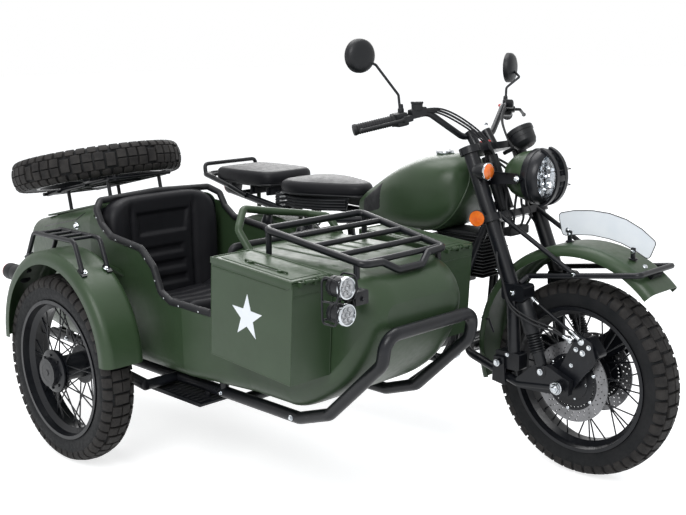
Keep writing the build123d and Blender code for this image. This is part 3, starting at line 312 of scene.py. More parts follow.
# The CAD nodes that stay visible. Pieces below stand for the others
paint(BLACK, "front_rim", "rear_rim", "sidecar_rim", "spare_rim", "fork", "front_link", "fender_stays",
      "handlebar", "calipers", "frame", "exhaust", "swing_arm", "tail_rack", "fender_rack", "nose_rack",
      "bull_bar", "sidecar_frame", "mount_struts", "spare_rack", "step", "seat_base")
paint(OLIVE, "front_fender", "rear_fender", "sidecar_fender", "sidecar_body", "grab_bar", "ammo_boxes",
      "outer_box_lid", "inner_box_lid", "trunk_lid")
paint(RUBBER, "coaming", "controls")

# Tyres: a round carcass with rows of paired blocks, every fourth row one wide block, and shoulder knobs.
# Profiles give distances from the middle plane and radii
CARCASS = (
    (38.5, 237.5), (48, 243), (53, 256), (54.5, 272), (53.5, 287), (49.5, 299), (43, 305), (33, 310),
    (18, 314.3), (0, 315.8),
)
LINING = ((34, 240), (44, 262), (45, 286), (30, 303.5))
SHOULDER = 5
TYRE_STEPS = 108
ROWS = 48
TREAD_DEPTH = 9
ROW_LENGTH = 34.5
LUG = ((36, 318), (44, 315), (52.5, 307.5), (56.2, 298.5), (55.6, 288))
LUG_SHRINK = (1.5, 0, 0, 1.2, 3)
LUG_LENGTH = 31
LUG_DEPTH = 8


def crown(across):
    """The carcass's radius at a distance from its middle plane."""
    reach = abs(across)
    for (wide, low), (narrow, high) in zip(CARCASS[SHOULDER:], CARCASS[SHOULDER + 1:]):
        if narrow <= reach <= wide:
            return low + (high - low) * (wide - reach) / (wide - narrow)
    return CARCASS[SHOULDER][1]


def rolled(across, radius, spin):
    """A place on a tyre round the origin with its axle along Y."""
    return Vector((radius * cos(spin) / 1000, across / 1000, radius * sin(spin) / 1000))


def block(shape, angle, inner, outer, steps=3):
    """A tread block between two distances from the middle plane, with drafted sides and a worn edge."""
    rings = []
    for lift, shrink in ((-3, 0), (TREAD_DEPTH - 1.2, 0.4), (TREAD_DEPTH, 1.8)):
        low, high, half = inner + shrink, outer - shrink, ROW_LENGTH / 2 - shrink
        across = [low + (high - low) * k / steps for k in range(steps + 1)]
        rings.append([
            rolled(w, crown(w) + lift, angle + along / (crown(w) + lift))
            for along, row in ((-half, across), (half, across[::-1])) for w in row
        ])
    shape.skin(rings)


def lug(shape, angle, side):
    """A shoulder knob that stands on the crown's edge and runs a little way down the side."""
    rings = []
    for (w, radius), shrink in zip(LUG, LUG_SHRINK):
        half = LUG_LENGTH / 2 - shrink
        rings.append([
            rolled(side * (w - depth * 0.6), radius - depth * 0.8, angle + along / radius)
            for along, depth in ((-half, 0), (half, 0), (half * 1.06, LUG_DEPTH), (-half * 1.06, LUG_DEPTH))
        ])
    shape.skin(rings)


def tyre_shapes():
    """A tyre's carcass and its tread, round the origin with the axle along Y."""
    carcass, tread = Shape(), Shape()
    profile = [*CARCASS, *((-w, r) for w, r in CARCASS[-2::-1]), *((-w, r) for w, r in LINING), *LINING[::-1]]
    carcass.lathe(Vector(), Y, profile, TYRE_STEPS, ring=True)
    for row, angle in enumerate(angles(ROWS)):
        if row % 4 == 3:
            block(tread, angle, -24.5, 24.5, 6)
        else:
            block(tread, angle, 1.6, 32.5)
            block(tread, angle, -32.5, -1.6)
        for side in SIDES:
            lug(tread, angle + pi / ROWS, side)
    return carcass, tread


SPARE_LEAN = radians(12)
for wheel, body in (("front", "front_wheel"), ("rear", "rear_wheel"), ("sidecar", "sidecar_wheel"),
                    ("spare", "trunk_lid")):
    core = "sidecar_tyre" if wheel == "sidecar" else f"{wheel}_rim"
    place = Matrix.Translation(sum(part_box(core), Vector()) / 2)
    if wheel == "spare":
        place = place @ Matrix.Rotation(-SPARE_LEAN, 4, "Y") @ Matrix.Rotation(pi / 2, 4, "X")
    carcass, tread = tyre_shapes()
    for part in (carcass, tread):
        bmesh.ops.transform(part.mesh, matrix=place, verts=part.mesh.verts)
    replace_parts(carcass.make(f"{wheel}_block_tyre", body, "tyre_rubber", TYRE, sharp=30), f"{wheel}_tyre")
    tread.make(f"{wheel}_tread", body, "tyre_rubber", TREAD, sharp=30)

# Fork shocks: a sleeve, bellows with seven ribs, a rod and an eye, with a hose down the front
LEG_SPREAD = 130
SHOCK = ((1345, 582), (1427, 358))
SLEEVE = [(-4, 12), (4, 24), (12, 27.5), (104, 27.5), (108, 26.2), (113, 26.2)]
RIB, RIB_START, RIB_GAP, RIBS = ((0, 20), (2, 24.5), (5.5, 25), (7.5, 20.5)), 116, 8.5, 7
ROD = [(178, 21.5), (184, 19), (216, 18), (226, 15), (232, 10)]
bellows = [(RIB_START + RIB_GAP * k + along, radius) for k in range(RIBS) for along, radius in RIB]
shocks = Shape()
for side in SIDES:
    top, foot = run(SHOCK, side * LEG_SPREAD)
    down = foot - top
    shocks.lathe(top, down, SLEEVE + bellows + ROD, 36)
    shocks.lathe(foot - Y * 0.017, Y, [(0, 17), (2, 19.5), (32, 19.5), (34, 17)], 28)
    hose = [top + down * 0.43 + Y * 0.03 * side, top + down * 0.52 + X * 0.03, top + down * 0.74 + X * 0.022]
    shocks.tube(hose, 1.2, 20, 6)
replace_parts(shocks.make("fork_shocks", "steering", "black_paint", PLASTIC, sharp=50), "front_shocks")

# Headlight: painted bowl, deep black rim, faceted reflector and domed glass
LAMP_AT = at(1290, 0, 967)
bowl = Shape().lathe(LAMP_AT, X, [
    (-112, 1), (-110, 14), (-104, 30), (-90, 50), (-68, 67), (-40, 79), (-10, 85.5), (6, 86.5), (6, 80),
    (-10, 77), (-60, 57), (-90, 20), (-100, 1),
], 64)
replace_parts(bowl.make("headlight_bowl", "steering", "olive_paint", OLIVE), "headlight")
Shape().lathe(LAMP_AT, X, [
    (2, 82), (2, 90.5), (5, 92.5), (24, 92.5), (26, 90.5), (29, 90.5), (31, 92), (44, 90), (55, 85), (60, 80),
    (60, 76.5), (54, 74.5), (34, 74.5), (28, 78),
], 64, ring=True).make("headlight_rim", "steering", "black_paint", BLACK)
reflector = Shape().lathe(LAMP_AT, X, [
    (36, 74.2), (30, 70), (18, 63), (6, 58), (-4, 40), (-6, 1), (-10, 1), (-12, 59), (28, 75.5),
], 18, ring=True)
CUP = [(0, 11.8), (10, 12.8), (13, 12), (14, 10.5), (8, 7), (6, 1)]
for count, reach in ((6, 0.028), (12, 0.050)):
    for angle in angles(count):
        reflector.lathe(LAMP_AT + X * 0.002 + spoke(Y, Z, angle) * reach, X, CUP, 10)
reflector.lathe(LAMP_AT, X, [(0, 16), (16, 16.5), (18, 14), (12, 1)], 24)
reflector.make("headlight_reflector", "steering", "steel", CHROME, sharp=15)
Shape().lathe(LAMP_AT, X, [
    (36, 74.2), (42, 70), (48, 56), (53, 32), (55, 1), (52, 1), (50, 31), (45, 54), (39, 68), (34, 73.5),
], 48, ring=True).make("headlight_glass", "steering", "steel", GLASS)

# Headlight ears, and its guard: two bowed bars over the glass with a link and two thin wires
EAR = ((1150, 938), (1285, 950), (1305, 967), (1285, 984), (1142, 984))
BOW_STEPS, BOW_SWING, BAR_HALF = 16, 78, 0.0075
guard = Shape()
for side in SIDES:
    guard.slab(run(EAR, side * 97), 6)
    guard.lathe(at(1158, side * 96, 960), Y * side, [(0, 10), (22, 10)], 24)
    guard.lathe(LAMP_AT + Y * side * 0.084, Y * side, [(0, 10), (21, 10), (22, 9)], 24)
    rings = []
    for k in range(BOW_STEPS + 1):
        swing = radians(BOW_SWING * (2 * k / BOW_STEPS - 1))
        bow = Vector((0.086 * cos(swing), 0, 0.099 * sin(swing)))
        outer = LAMP_AT + X * 0.020 + bow + Y * (side * 0.023 + BAR_HALF)
        inner = outer - Y * BAR_HALF * 2
        back = bow.normalized() * BAR_HALF
        rings.append([outer, inner, inner - back, outer - back])
    guard.skin(rings)
guard.box(LAMP_AT + X * 0.1015, (7, 46, 18), 1)
for up in (-0.026, 0.026):
    wire = ((0.050, -0.080, up), (0.098, -0.060, up), (0.098, 0.060, up), (0.050, 0.080, up))
    guard.tube([LAMP_AT + Vector(place) for place in wire], 1.4, 12, 6)
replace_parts(guard.make("headlight_guard", "steering", "black_paint", BLACK, sharp=30), "headlight_mount")

# Indicators: bullet bodies with a chrome ring and an orange lens
bullets, rings, lenses = Shape(), Shape(), Shape()
for side in SIDES:
    place = at(1206, side * 164, 992)
    bullets.lathe(place, X, [(-46, 2), (-44, 10), (-36, 18.5), (-20, 25), (6, 27.8), (12, 27.8), (12, 2)], 36)
    bullets.tube([at(1188, side * 145, 992), at(1146, side * 140, 988)], 6.5)
    ring = [(11, 23), (11, 28), (13.5, 28.6), (16.5, 28), (17.5, 26.2), (16.5, 24.5)]
    rings.lathe(place, X, ring, 36, ring=True)
    lenses.lathe(place, X, [(12, 25), (17, 25.6), (22, 22.5), (26.2, 13), (27.2, 1)], 36)
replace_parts(bullets.make("indicator_bodies", "steering", "black_plastic", PLASTIC), "indicators")
rings.make("indicator_rings", "steering", "steel", CHROME)
lenses.make("indicator_lenses", "steering", "orange_lens", ORANGE)

# Round side reflectors of six wedges, beside the fork legs
WEDGES, WEDGE_STEPS = 6, 4
WEDGE_RISES = ((0.0048, 0.0027), (0.0028, 0.0047))
reflectors, backs = Shape(), Shape()
for side in SIDES:
    out = Vector((0.30, side * 0.95, 0)).normalized()
    place = at(1184, side * 170, 836)
    backs.lathe(place, out, [(-6, 20), (-3, 27.5), (3, 27.5), (4, 26.2)], 32)
    backs.box(place + Vector((0.010, -side * 0.018, 0)), (44, 30, 24), 3)
    face, (across, up) = place + out * 0.003, square(out)
    for k in range(WEDGES):
        rim = angles(WEDGES * WEDGE_STEPS)[k * WEDGE_STEPS:][:WEDGE_STEPS]
        points = [face] + [face + spoke(across, up, a) * 0.0255 for a in rim + [2 * pi * (k + 1) / WEDGES]]
        rise, centre_rise = WEDGE_RISES[k % 2]
        reflectors.skin([points, [points[0] + out * centre_rise] + [p + out * rise for p in points[1:]]])
backs.make("reflector_backs", "steering", "black_plastic", PLASTIC)
reflectors.make("side_reflectors", "steering", "orange_lens", ORANGE, sharp=5)

# Number plate: blank, its corners rounded, with a thin dark edge, on two black feet
PLATE = (
    (-119, 853), (-60, 867.5), (5, 874.5), (70, 872), (130, 859), (185, 835), (235, 800), (212, 742),
    (160, 767.5), (115, 783), (70, 791.5), (10, 795.5), (-50, 790), (-100, 781),
)
FENDER_CENTRE, FENDER_RADIUS = 1503, 385
outline = rounded([at(WHEELBASE + forward, 3, up) for forward, up in PLATE], 16, loop=True)
plate, plate_edge, fittings = Shape(), Shape(), Shape()
plate.slab(outline, 3)
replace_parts(plate.make("blank_plate", "steering", "white_paint", WHITE, sharp=30), "number_plate")
plate_edge.tube([p - Y * 0.0016 for p in outline], 1.4, 0, 6, loop=True)
fittings.bolt(at(1419, 1.5, 801), -Y, 5.8)
for forward in (1430, 1660):
    foot_up = FENDER_RADIUS + sqrt(FENDER_RADIUS**2 - (forward - FENDER_CENTRE) ** 2)
    plate_edge.box(at(forward, -3, foot_up + 19), (14, 10, 40), 3.5)
    plate_edge.lathe(at(forward, -2, foot_up + 1), Z, [(0, 14), (4, 14), (6, 9)], 20)
    fittings.bolt(at(forward, -8, foot_up + 27), -Y, 4.6)
plate_edge.make("plate_edge", "steering", "black_paint", BLACK)
fittings.make("plate_bolts", "steering", "steel", CHROME)

# Sidecar lamps: two round lamps with seven lights each, chrome rims and a wire cage
LAMP_HEIGHTS = (782, 710)
CAGE_LEFT, CAGE_RIGHT = -297, -363
cans, rims, faces, lights, cage = Shape(), Shape(), Shape(), Shape(), Shape()
for up in LAMP_HEIGHTS:
    place = car(1352, -330, up)
    cans.lathe(place, X, [
        (0, 10), (2, 24), (6, 27.5), (20, 28.5), (21, 26.5), (24, 26.5), (25, 28.5), (52, 28.5), (54, 20),
        (54, 2),
    ], 40)
    rim = [(50, 27), (50, 30.5), (56, 30.8), (60, 29.5), (60.5, 26.5), (56, 25.5)]
    rims.lathe(place, X, rim, 40, ring=True)
    faces.lathe(place, X, [(53.5, 1), (53.5, 26.2), (55.5, 26.2), (55.8, 1)], 40)
    for spot in [Vector()] + [spoke(Y, Z, angle) * 0.0155 for angle in angles(6, 1)]:
        lights.lathe(place + X * 0.0555 + spot, X, [(-1, 6.8), (1, 6.8), (3, 5.2), (3.8, 2.5), (4, 0.3)], 18)
for left, shoulder in ((CAGE_RIGHT, 806), (CAGE_LEFT, 812)):
    upper = ((1349, 700), (1349, 796), (1362, 812), (1408, shoulder), (1414, 780), (1404, 746), (1352, 744))
    lower = ((1349, 700), (1352, 684), (1400, 684), (1404, 716), (1398, 745))
    for route, bend in ((upper, 16), (lower, 12)):
        cage.tube(run(route, left, car), 3, bend, 8)
for forward, up in ((1350, 800), (1350, 692), (1405, 806)):
    cage.tube([car(forward, CAGE_RIGHT, up), car(forward, CAGE_LEFT, up)], 3, 0, 8)
cage.box(car(1376, -262, 742), (46, 52, 40), 6)
cage.box(car(1376, -296, 744), (30, 30, 10), 2)
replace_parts(cans.make("lamp_cans", "chassis", "black_plastic", PLASTIC), "side_lamps")
rims.make("lamp_rims", "chassis", "steel", CHROME)
faces.make("lamp_faces", "chassis", "steel", STEEL)
lights.make("lamp_lights", "chassis", "steel", GLASS)
cage.make("lamp_cage", "chassis", "black_paint", BLACK)
bracket = Shape()
bracket.bolt(car(1399, -262, 740), X)
bracket.tube([car(1300, -214, 742), car(1365, -262, 742)], 10)
bracket.make("lamp_bracket", "chassis", "black_paint", BLACK)

# Drilled discs on black carriers
DISC_INNER, DISC_OUTER, DISC_HOLE, HOLES_ROUND = 94, 132, 2.9, 30
CARRIER_INNER, CARRIER_OUTER, CARRIER_HOLE, CARRIER_HOLES = 30, 93.6, 3.2, 40


def drilled_ring(shape, place, axis, inner, outer, thickness, holes):
    """A flat ring with round holes of one radius, given as a radius and places in the ring's plane."""
    across, up = square(axis)
    flat = bmesh.new()

    def circle(u, v, radius, steps):
        places = [((u + radius * cos(a)) / 1000, (v + radius * sin(a)) / 1000, 0) for a in angles(steps)]
        ring = [flat.verts.new(place) for place in places]
        return [flat.edges.new(pair) for pair in zip(ring, ring[1:] + ring[:1])]

    edges = circle(0, 0, outer, 96) + circle(0, 0, inner, 72)
    hole_radius, centres = holes
    for u, v in centres:
        edges += circle(u, v, hole_radius, 8)
    bmesh.ops.triangle_fill(flat, use_beauty=True, edges=edges)
    lids = []
    for depth in (-thickness / 2, thickness / 2):
        lid = place + axis * depth / 1000
        made = {v: shape.vert(lid + across * v.co.x + up * v.co.y) for v in flat.verts}
        for face in flat.faces:
            shape.face([made[v] for v in face.verts])
        lids.append(made)
    for edge in flat.edges:
        if len(edge.link_faces) == 1:
            a, b = edge.verts
            shape.face([lids[0][a], lids[0][b], lids[1][b], lids[1][a]])
    flat.free()


# Three rows of holes: each row's radius, its lead as a share of a gap, and how many of three are drilled
HOLE_ROWS = ((101, 0.0, 3), (112.5, 0.33, 3), (124, 0.66, 2))
discs, carriers, disc_bolts = Shape(), Shape(), Shape()
front_axle = at(WHEELBASE, 0, TYRE_RADIUS)
for side in SIDES:
    place, out = front_axle + Y * side * 0.0745, Y * side
    holes = [
        (reach * cos(2 * pi * (k + lead) / HOLES_ROUND), reach * sin(2 * pi * (k + lead) / HOLES_ROUND))
        for k in range(HOLES_ROUND) for reach, lead, drilled in HOLE_ROWS if k % 3 < drilled
    ]
    drilled_ring(discs, place, Y, DISC_INNER, DISC_OUTER, 5, (DISC_HOLE, holes))
    holes = [(83 * cos(angle), 83 * sin(angle)) for angle in angles(CARRIER_HOLES)]
    drilled_ring(carriers, place - out * 0.0005, Y, CARRIER_INNER, CARRIER_OUTER, 6, (CARRIER_HOLE, holes))
    bell = [(0, 40), (12, 40), (16, 52), (16.5, 62), (22, 60), (26, 36), (26, 18), (0, 18)]
    carriers.lathe(place - out * 0.018, out, bell, 40, ring=True)
    for angle in angles(6, 0.4):
        button = [(-2, 5.8), (2.5, 5.8), (3.5, 4.5), (3.5, 1)]
        disc_bolts.lathe(place + out * 0.003 + spoke(X, Z, angle) * 0.089, out, button, 16)
    for angle in angles(5):
        disc_bolts.bolt(place + out * 0.0035 + spoke(X, Z, angle) * 0.055, out, 4.2, False)
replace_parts(discs.make("drilled_discs", "front_wheel", "steel", DISC, sharp=25), "front_discs")
carriers.make("disc_carriers", "front_wheel", "black_paint", BLACK, sharp=25)
disc_bolts.make("disc_bolts", "front_wheel", "steel", CHROME)

# Rear springs with their dampers, and the sidecar's
SPRINGS = [(at(96, side * 136, 742), at(24, side * 136, 372)) for side in SIDES]
SPRINGS += [(car(104, -322, 640), car(196, -322, 330))]
COIL_TURNS, COIL_STEPS, COIL_START, COIL_END = 8.5, 18, 0.046, 0.66
springs, coils = Shape(), Shape()
for top, foot in SPRINGS:
    down, length = (foot - top).normalized(), (foot - top).length
    body = [(0, 6), (10, 15), (40, 23.5), (44, 23.5), (48, 10)]
    body += [(length * 1000 * share, radius) for share, radius in (
        (COIL_END, 10), (COIL_END, 20), (0.72, 20), (0.76, 14), (1, 8),
    )]
    springs.lathe(top, down, body, 28)
    for eye in (top, foot):
        springs.lathe(eye - Y * 0.014, Y, [(0, 15), (2, 18), (26, 18), (28, 15)], 24)
    across, up = square(down)
    rise = (length * COIL_END - COIL_START) / (COIL_TURNS * COIL_STEPS)
    coils.tube([
        top + down * (COIL_START + rise * k) + spoke(across, up, 2 * pi * k / COIL_STEPS) * 0.0215
        for k in range(int(COIL_TURNS * COIL_STEPS) + 1)
    ], 4.2, 0, 8)
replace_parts(springs.make("spring_dampers", "chassis", "black_paint", BLACK), "rear_shocks")
coils.make("coil_springs", "chassis", "black_paint", BLACK)

# Fuel tank: rounded sections along the bike, with knee pads, a filler cap and a seam round its front.
# Each section gives its place, half width, underside and top
TANK = (
    (497, 20, 762, 800), (520, 46, 754, 832), (560, 68, 749, 860), (620, 97, 745, 894), (700, 124, 742, 940),
    (780, 142, 741, 980), (860, 150, 743, 1007), (930, 148, 752, 1017), (985, 137, 776, 1015),
    (1025, 116, 812, 1000), (1048, 84, 850, 974), (1056, 40, 885, 942),
)
TANK_WAIST = 0.46
TANK_STATIONS, TANK_SIDES = 44, 64


def tank_section(forward):
    """Half width, underside and top of the tank at one place along the bike."""
    places, *sizes = zip(*TANK)
    for i in range(len(TANK) - 1):
        if places[i] <= forward <= places[i + 1]:
            t = (forward - places[i]) / (places[i + 1] - places[i])
            return [spline(size, i, t) for size in sizes]
    return list(TANK[-1][1:])


def tank_point(forward, angle, out=0.0):
    """A place on the tank's skin: the angle runs from its left side over its top."""
    half, low, high = tank_section(forward)
    power = 0.74 if sin(angle) > 0 else 0.56
    u, v = cos(angle), sin(angle)
    y = abs(u) ** power * (1 if u > 0 else -1) * (half + out)
    z = abs(v) ** power * (1 if v > 0 else -1) * ((high - low) / 2 + out)
    return at(forward, y, low + (high - low) * TANK_WAIST + z * (1.08 if z > 0 else 0.92))


tank = Shape()
front, rear = TANK[-1][0], TANK[0][0]
shares = [0.5 - 0.5 * cos(pi * k / TANK_STATIONS) for k in range(TANK_STATIONS + 1)]
tank.skin([[tank_point(rear + (front - rear) * share, a) for a in angles(TANK_SIDES)] for share in shares])
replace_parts(tank.make("tank_shell", "chassis", "olive_paint", OLIVE, sharp=60), "fuel_tank")


def sheet(shape, front, rear):
    """A closed pad between two grids of places, joined along their borders."""
    wide, high = len(front) - 1, len(front[0]) - 1
    cells = [(i, j) for i in range(wide) for j in range(high)]
    front, rear = ([[shape.vert(p) for p in row] for row in grid] for grid in (front, rear))
    for i, j in cells:
        shape.face([front[i][j], front[i + 1][j], front[i + 1][j + 1], front[i][j + 1]])
        shape.face([rear[i][j], rear[i][j + 1], rear[i + 1][j + 1], rear[i + 1][j]])
    border = [(i, 0) for i in range(wide)] + [(wide, j) for j in range(high)]
    border += [(i, high) for i in range(wide, 0, -1)] + [(0, j) for j in range(high, 0, -1)]
    for (i, j), (k, m) in zip(border, border[1:] + border[:1]):
        shape.face([front[i][j], rear[i][j], rear[k][m], front[k][m]])


def pad_place(side, u, v):
    """A place on a knee pad's face, from shares along it and up."""
    low, high = radians(-12 + 6 * u), radians(21 + 20 * u)
    angle = low + (high - low) * v
    rise = 3.2 * min(1, min(u, 1 - u) * 6, min(v, 1 - v) * 5) - 0.8
    return tank_point(566 + 142 * u, angle if side > 0 else pi - angle, rise)


PAD_LONG, PAD_HIGH, PAD_THICK = 14, 10, 0.004
pads, seams = Shape(), Shape()
for side in SIDES:
    shares = [j / PAD_HIGH for j in range(PAD_HIGH + 1)]
    face = [[pad_place(side, i / PAD_LONG, v) for v in shares] for i in range(PAD_LONG + 1)]
    sheet(pads, face, [[p - Y * side * PAD_THICK for p in row] for row in face])
pads.make("knee_pads", "chassis", "grip_rubber", RUBBER, sharp=60)

SEAM = ((1050, 60), (1053, 30), (1052, 0), (1046, -25), (1030, -42), (1000, -52), (950, -58), (880, -60))
for side in SIDES:
    route = [tank_point(forward, radians(degrees), 1.0) for forward, degrees in SEAM]
    route = [Vector((p.x, AXLE.y + side * (p.y - AXLE.y), p.z)) for p in route]
    seams.tube(smooth(route, 6), 2.8, 0, 8)
seams.make("tank_seams", "chassis", "olive_paint", OLIVE)
Shape().lathe(at(903, 0, 1004), Vector((0.05, 0, 1)), [
    (0, 30), (12, 31), (14, 32.5), (20, 32.5), (24, 30), (26, 22), (26.5, 1),
], 40).make("filler_cap", "chassis", "steel", CHROME)

# Saddle and pillion pad
SADDLE = (
    (130, 0), (132, 60), (140, 104), (176, 133), (232, 142), (292, 136), (350, 116), (410, 92), (466, 70),
    (508, 48), (526, 22), (528, 0),
)
PILLION = (
    (-262, 0), (-262, 70), (-256, 112), (-228, 136), (-120, 139), (-10, 137), (60, 132), (88, 112), (96, 70),
    (96, 0),
)


def mirrored(outline):
    """A closed outline from its left half."""
    return [*outline, *((forward, -left) for forward, left in outline[-2:0:-1])]


def middle(outline):
    """Half way along an outline."""
    return (max(forward for forward, _ in outline) + min(forward for forward, _ in outline)) / 2


def softened(outline):
    """A closed outline with its runs cut in three and its corners worn down."""
    loop = mirrored(outline)
    dense = [
        (f + (g - f) * t, l + (m - l) * t)
        for (f, l), (g, m) in zip(loop, loop[1:] + loop[:1]) for t in (0.0, 1 / 3, 2 / 3)
    ]
    for _ in range(3):
        around = zip(dense[-1:] + dense[:-1], dense, dense[1:] + dense[:1])
        dense = [((a[0] + 2 * b[0] + c[0]) / 4, (a[1] + 2 * b[1] + c[1]) / 4) for a, b, c in around]
    return dense


def cushion(name, outline, low, high, rise, edge):
    """A padded seat: an outline in plan with rounded sides, crowned on top."""
    dense, shoulder = softened(outline), (high - low) * 0.42
    levels = []
    for k in range(5):
        a = pi / 2 * k / 4
        levels.append((1 - edge * 0.6 * (1 - sin(a)), low + shoulder * 0.5 * (1 - cos(a))))
    for k in range(7):
        a = pi / 2 * k / 6
        levels.append((1 - edge * (1 - cos(a)), high - rise - shoulder * (1 - sin(a))))
    for inset in (0.86, 0.76, 0.64, 0.50, 0.35, 0.18, 0.02):
        levels.append((inset * (1 - edge), high - rise * (inset / 0.98) ** 2))
    core = middle(dense)
    shape = Shape()
    for i, (scale, height) in enumerate(levels):
        levels[i] = [at(core + (f - core) * scale, l * scale, height) for f, l in dense]
    shape.skin(levels)
    return shape.make(name, "chassis", "seat_vinyl", VINYL, sharp=80)


saddle = cushion("saddle", SADDLE, 828, 887, 10, 0.16)
pillion = cushion("pillion_pad", PILLION, 842, 903, 7, 0.12)

# Seat bases: a rolled lower rim, a plate and the saddle's slatted skirt
under = Shape()
for outline, height, grow in ((SADDLE, 829, 1.012), (PILLION, 843, 1.008)):
    loop = mirrored(outline)
    core = middle(loop)
    rim = [at(core + (forward - core) * grow * 0.96, left * grow * 0.95, height) for forward, left in loop]
    under.tube(rim, 4.5, 20, 8, loop=True)
under.slab([at(forward * 0.9 + 30, left * 0.86, 824) for forward, left in mirrored(SADDLE)], 8)
under.slab([at(forward * 0.94 - 5, left * 0.9, 838) for forward, left in mirrored(PILLION)], 8)
for side in SIDES:
    for row in range(4):
        slat = ((470, 66, 812), (380, 96 + row, 808), (240, 112 + row, 806), (120, 112, 812))
        under.tube([at(forward, side * left, up - row * 11) for forward, left, up in slat], 6, 50, 8)
    skirt = ((480, 60, 822), (120, 108, 822), (120, 112, 770), (470, 66, 770))
    under.slab([at(forward, side * left, up) for forward, left, up in skirt], 6)
under.make("seat_bases", "chassis", "black_paint", PLASTIC)

COIL_ROUNDS, COIL_SIDES = 4, 16
seat_coils = Shape()
for side in SIDES:
    helix = []
    for k in range(COIL_ROUNDS * COIL_SIDES + 1):
        share = k / (COIL_ROUNDS * COIL_SIDES)
        swell = 0.024 + 0.006 * sin(pi * share)
        turn = spoke(X, Y, 2 * pi * k / COIL_SIDES) * swell
        helix.append(at(166, side * 92, 762) + Z * 0.064 * share + turn)
    seat_coils.tube(helix, 4, 0, 8)
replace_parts(seat_coils.make("saddle_springs", "chassis", "steel", STEEL), "seats")


# Sidecar seat: moulded back and cushion with bolsters and pressed channels
def step_up(value, low, high):
    """A smooth rise from 0 to 1 between two values."""
    t = min(max((value - low) / (high - low), 0.0), 1.0)
    return t * t * (3 - 2 * t)


def groove(u, v, box, depth, soft):
    """How deep a rounded rectangular recess is at a place."""
    left, right, low, high = box
    return depth * min(step_up(u, left - soft, left + soft), 1 - step_up(u, right - soft, right + soft),
                       step_up(v, low - soft, low + soft), 1 - step_up(v, high - soft, high + soft))


def back_depth(u, v):
    """How far the seat back's face stands out, in millimetres, across and up from its foot."""
    side = abs(u) / 244
    rise = 40 + 22 * step_up(side, 0.55, 0.80) * (1 - 0.55 * step_up(v, 250, 400))
    rise -= 8 * (1 - side) * step_up(v, 0, 120)
    narrow = 110 - 14 * (330 - v) / 100
    if 235 < v < 345:
        rise -= groove(u, v, (-narrow, narrow, 255, 332), 9, 7)
    for low, half in ((176, 84), (118, 92), (62, 98)):
        rise -= groove(u, v, (-half, half, low, low + 26), 8, 8)
    return rise - 7 * step_up(side, 0.50, 0.54) * (1 - step_up(side, 0.56, 0.62)) * (1 - step_up(v, 330, 390))


def panel(name, wide, high, place, node):
    """A padded panel: a worked face over a flat rear, its border rolled over."""
    grid = [[place(i / wide, j / high) for j in range(high + 1)] for i in range(wide + 1)]
    shape = Shape()
    sheet(shape, [[face for face, _ in row] for row in grid], [[rear for _, rear in row] for row in grid])
    made = shape.make(name, "chassis", "seat_vinyl", VINYL, sharp=80)
    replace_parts(made, node)


def rounded_box(u, v, half, height, border):
    """A place in a rounded rectangle from even shares across and up, and how far its border is rolled."""
    x, y = 2 * u - 1, 2 * v - 1
    reach = (abs(x) ** 5 + abs(y) ** 5) ** 0.2
    big = max(abs(x), abs(y), 1e-6)
    shrink = big / max(reach, 1e-6)
    roll = sqrt(max(0.0, 1 - (1 - min((1 - big) / border, 1)) ** 2))
    return x * half * shrink, (y * shrink + 1) * height / 2, roll


def back_place(u, v):
    """The seat back's face and rear at shares across and up."""
    across, up, roll = rounded_box(u, v, 243, 400, 0.11)
    depth = 8 + (back_depth(across, up) - 8) * roll
    return car(96 + min(depth, 63.5), across, 480 + up), car(97, across, 480 + up)


def seat_place(u, v):
    """The cushion's face and underside at shares across and along."""
    across, along, roll = rounded_box(u, v, 234, 346, 0.14)
    side = abs(across) / 234
    rise = 70 + 22 * step_up(side, 0.62, 0.84) - 10 * (1 - side) + 8 * step_up(along, 250, 340)
    for low in (80, 150, 220):
        rise -= groove(across, along, (-120, 120, low, low + 18), 6, 8)
    rise -= 6 * step_up(side, 0.54, 0.58) * (1 - step_up(side, 0.60, 0.66))
    height = 20 + (rise - 20) * roll + (along - 175) * 0.07
    return car(142 + along, across, 472 + height), car(142 + along, across, 470.5 + 0.2 * roll)


panel("sidecar_seat_back", 96, 84, back_place, "seat_back")
panel("sidecar_cushion", 84, 72, seat_place, "seat_cushion")

# Rivets along the coaming's sides
COAMING = (
    (122, 270, 850), (152, 271, 802), (207, 271, 766), (385, 271, 746), (452, 271, 692), (488, 271, 614),
    (542, 271, 590), (724, 252, 580), (774, 246, 606), (798, 240, 700), (812, 226, 798),
)
RIVET_GAP = 85
rivets = Shape()
for side in SIDES:
    for a, b in zip(map(Vector, COAMING), map(Vector, COAMING[1:])):
        count = max(1, round((b - a).length / RIVET_GAP))
        for k in range(count):
            p = a + (b - a) * (k + 0.5) / count
            rivet = [(-2, 3.5), (2.2, 3.5), (3.5, 2), (3.8, 0.3)]
            rivets.lathe(car(p.x, side * (p.y + 9.5), p.z - 2), Y * side, rivet, 12)
rivets.make("coaming_rivets", "chassis", "steel", CHROME)

# Ammunition boxes: the star on the outer box's face, and trim along the boxes' own leaning sides
BOX_LEAN = radians(4)
BOX_AHEAD, BOX_UP = Vector((cos(BOX_LEAN), 0, -sin(BOX_LEAN))), Vector((sin(BOX_LEAN), 0, cos(BOX_LEAN)))
BOX_AXES = (BOX_AHEAD, Y, BOX_UP)


def boxed(side, ahead, left, up):
    """A place on an ammunition box, from its middle along its own leaning sides."""
    return car(1072, side * 307.3 + left, 644) + (BOX_AHEAD * ahead + BOX_UP * up) / 1000


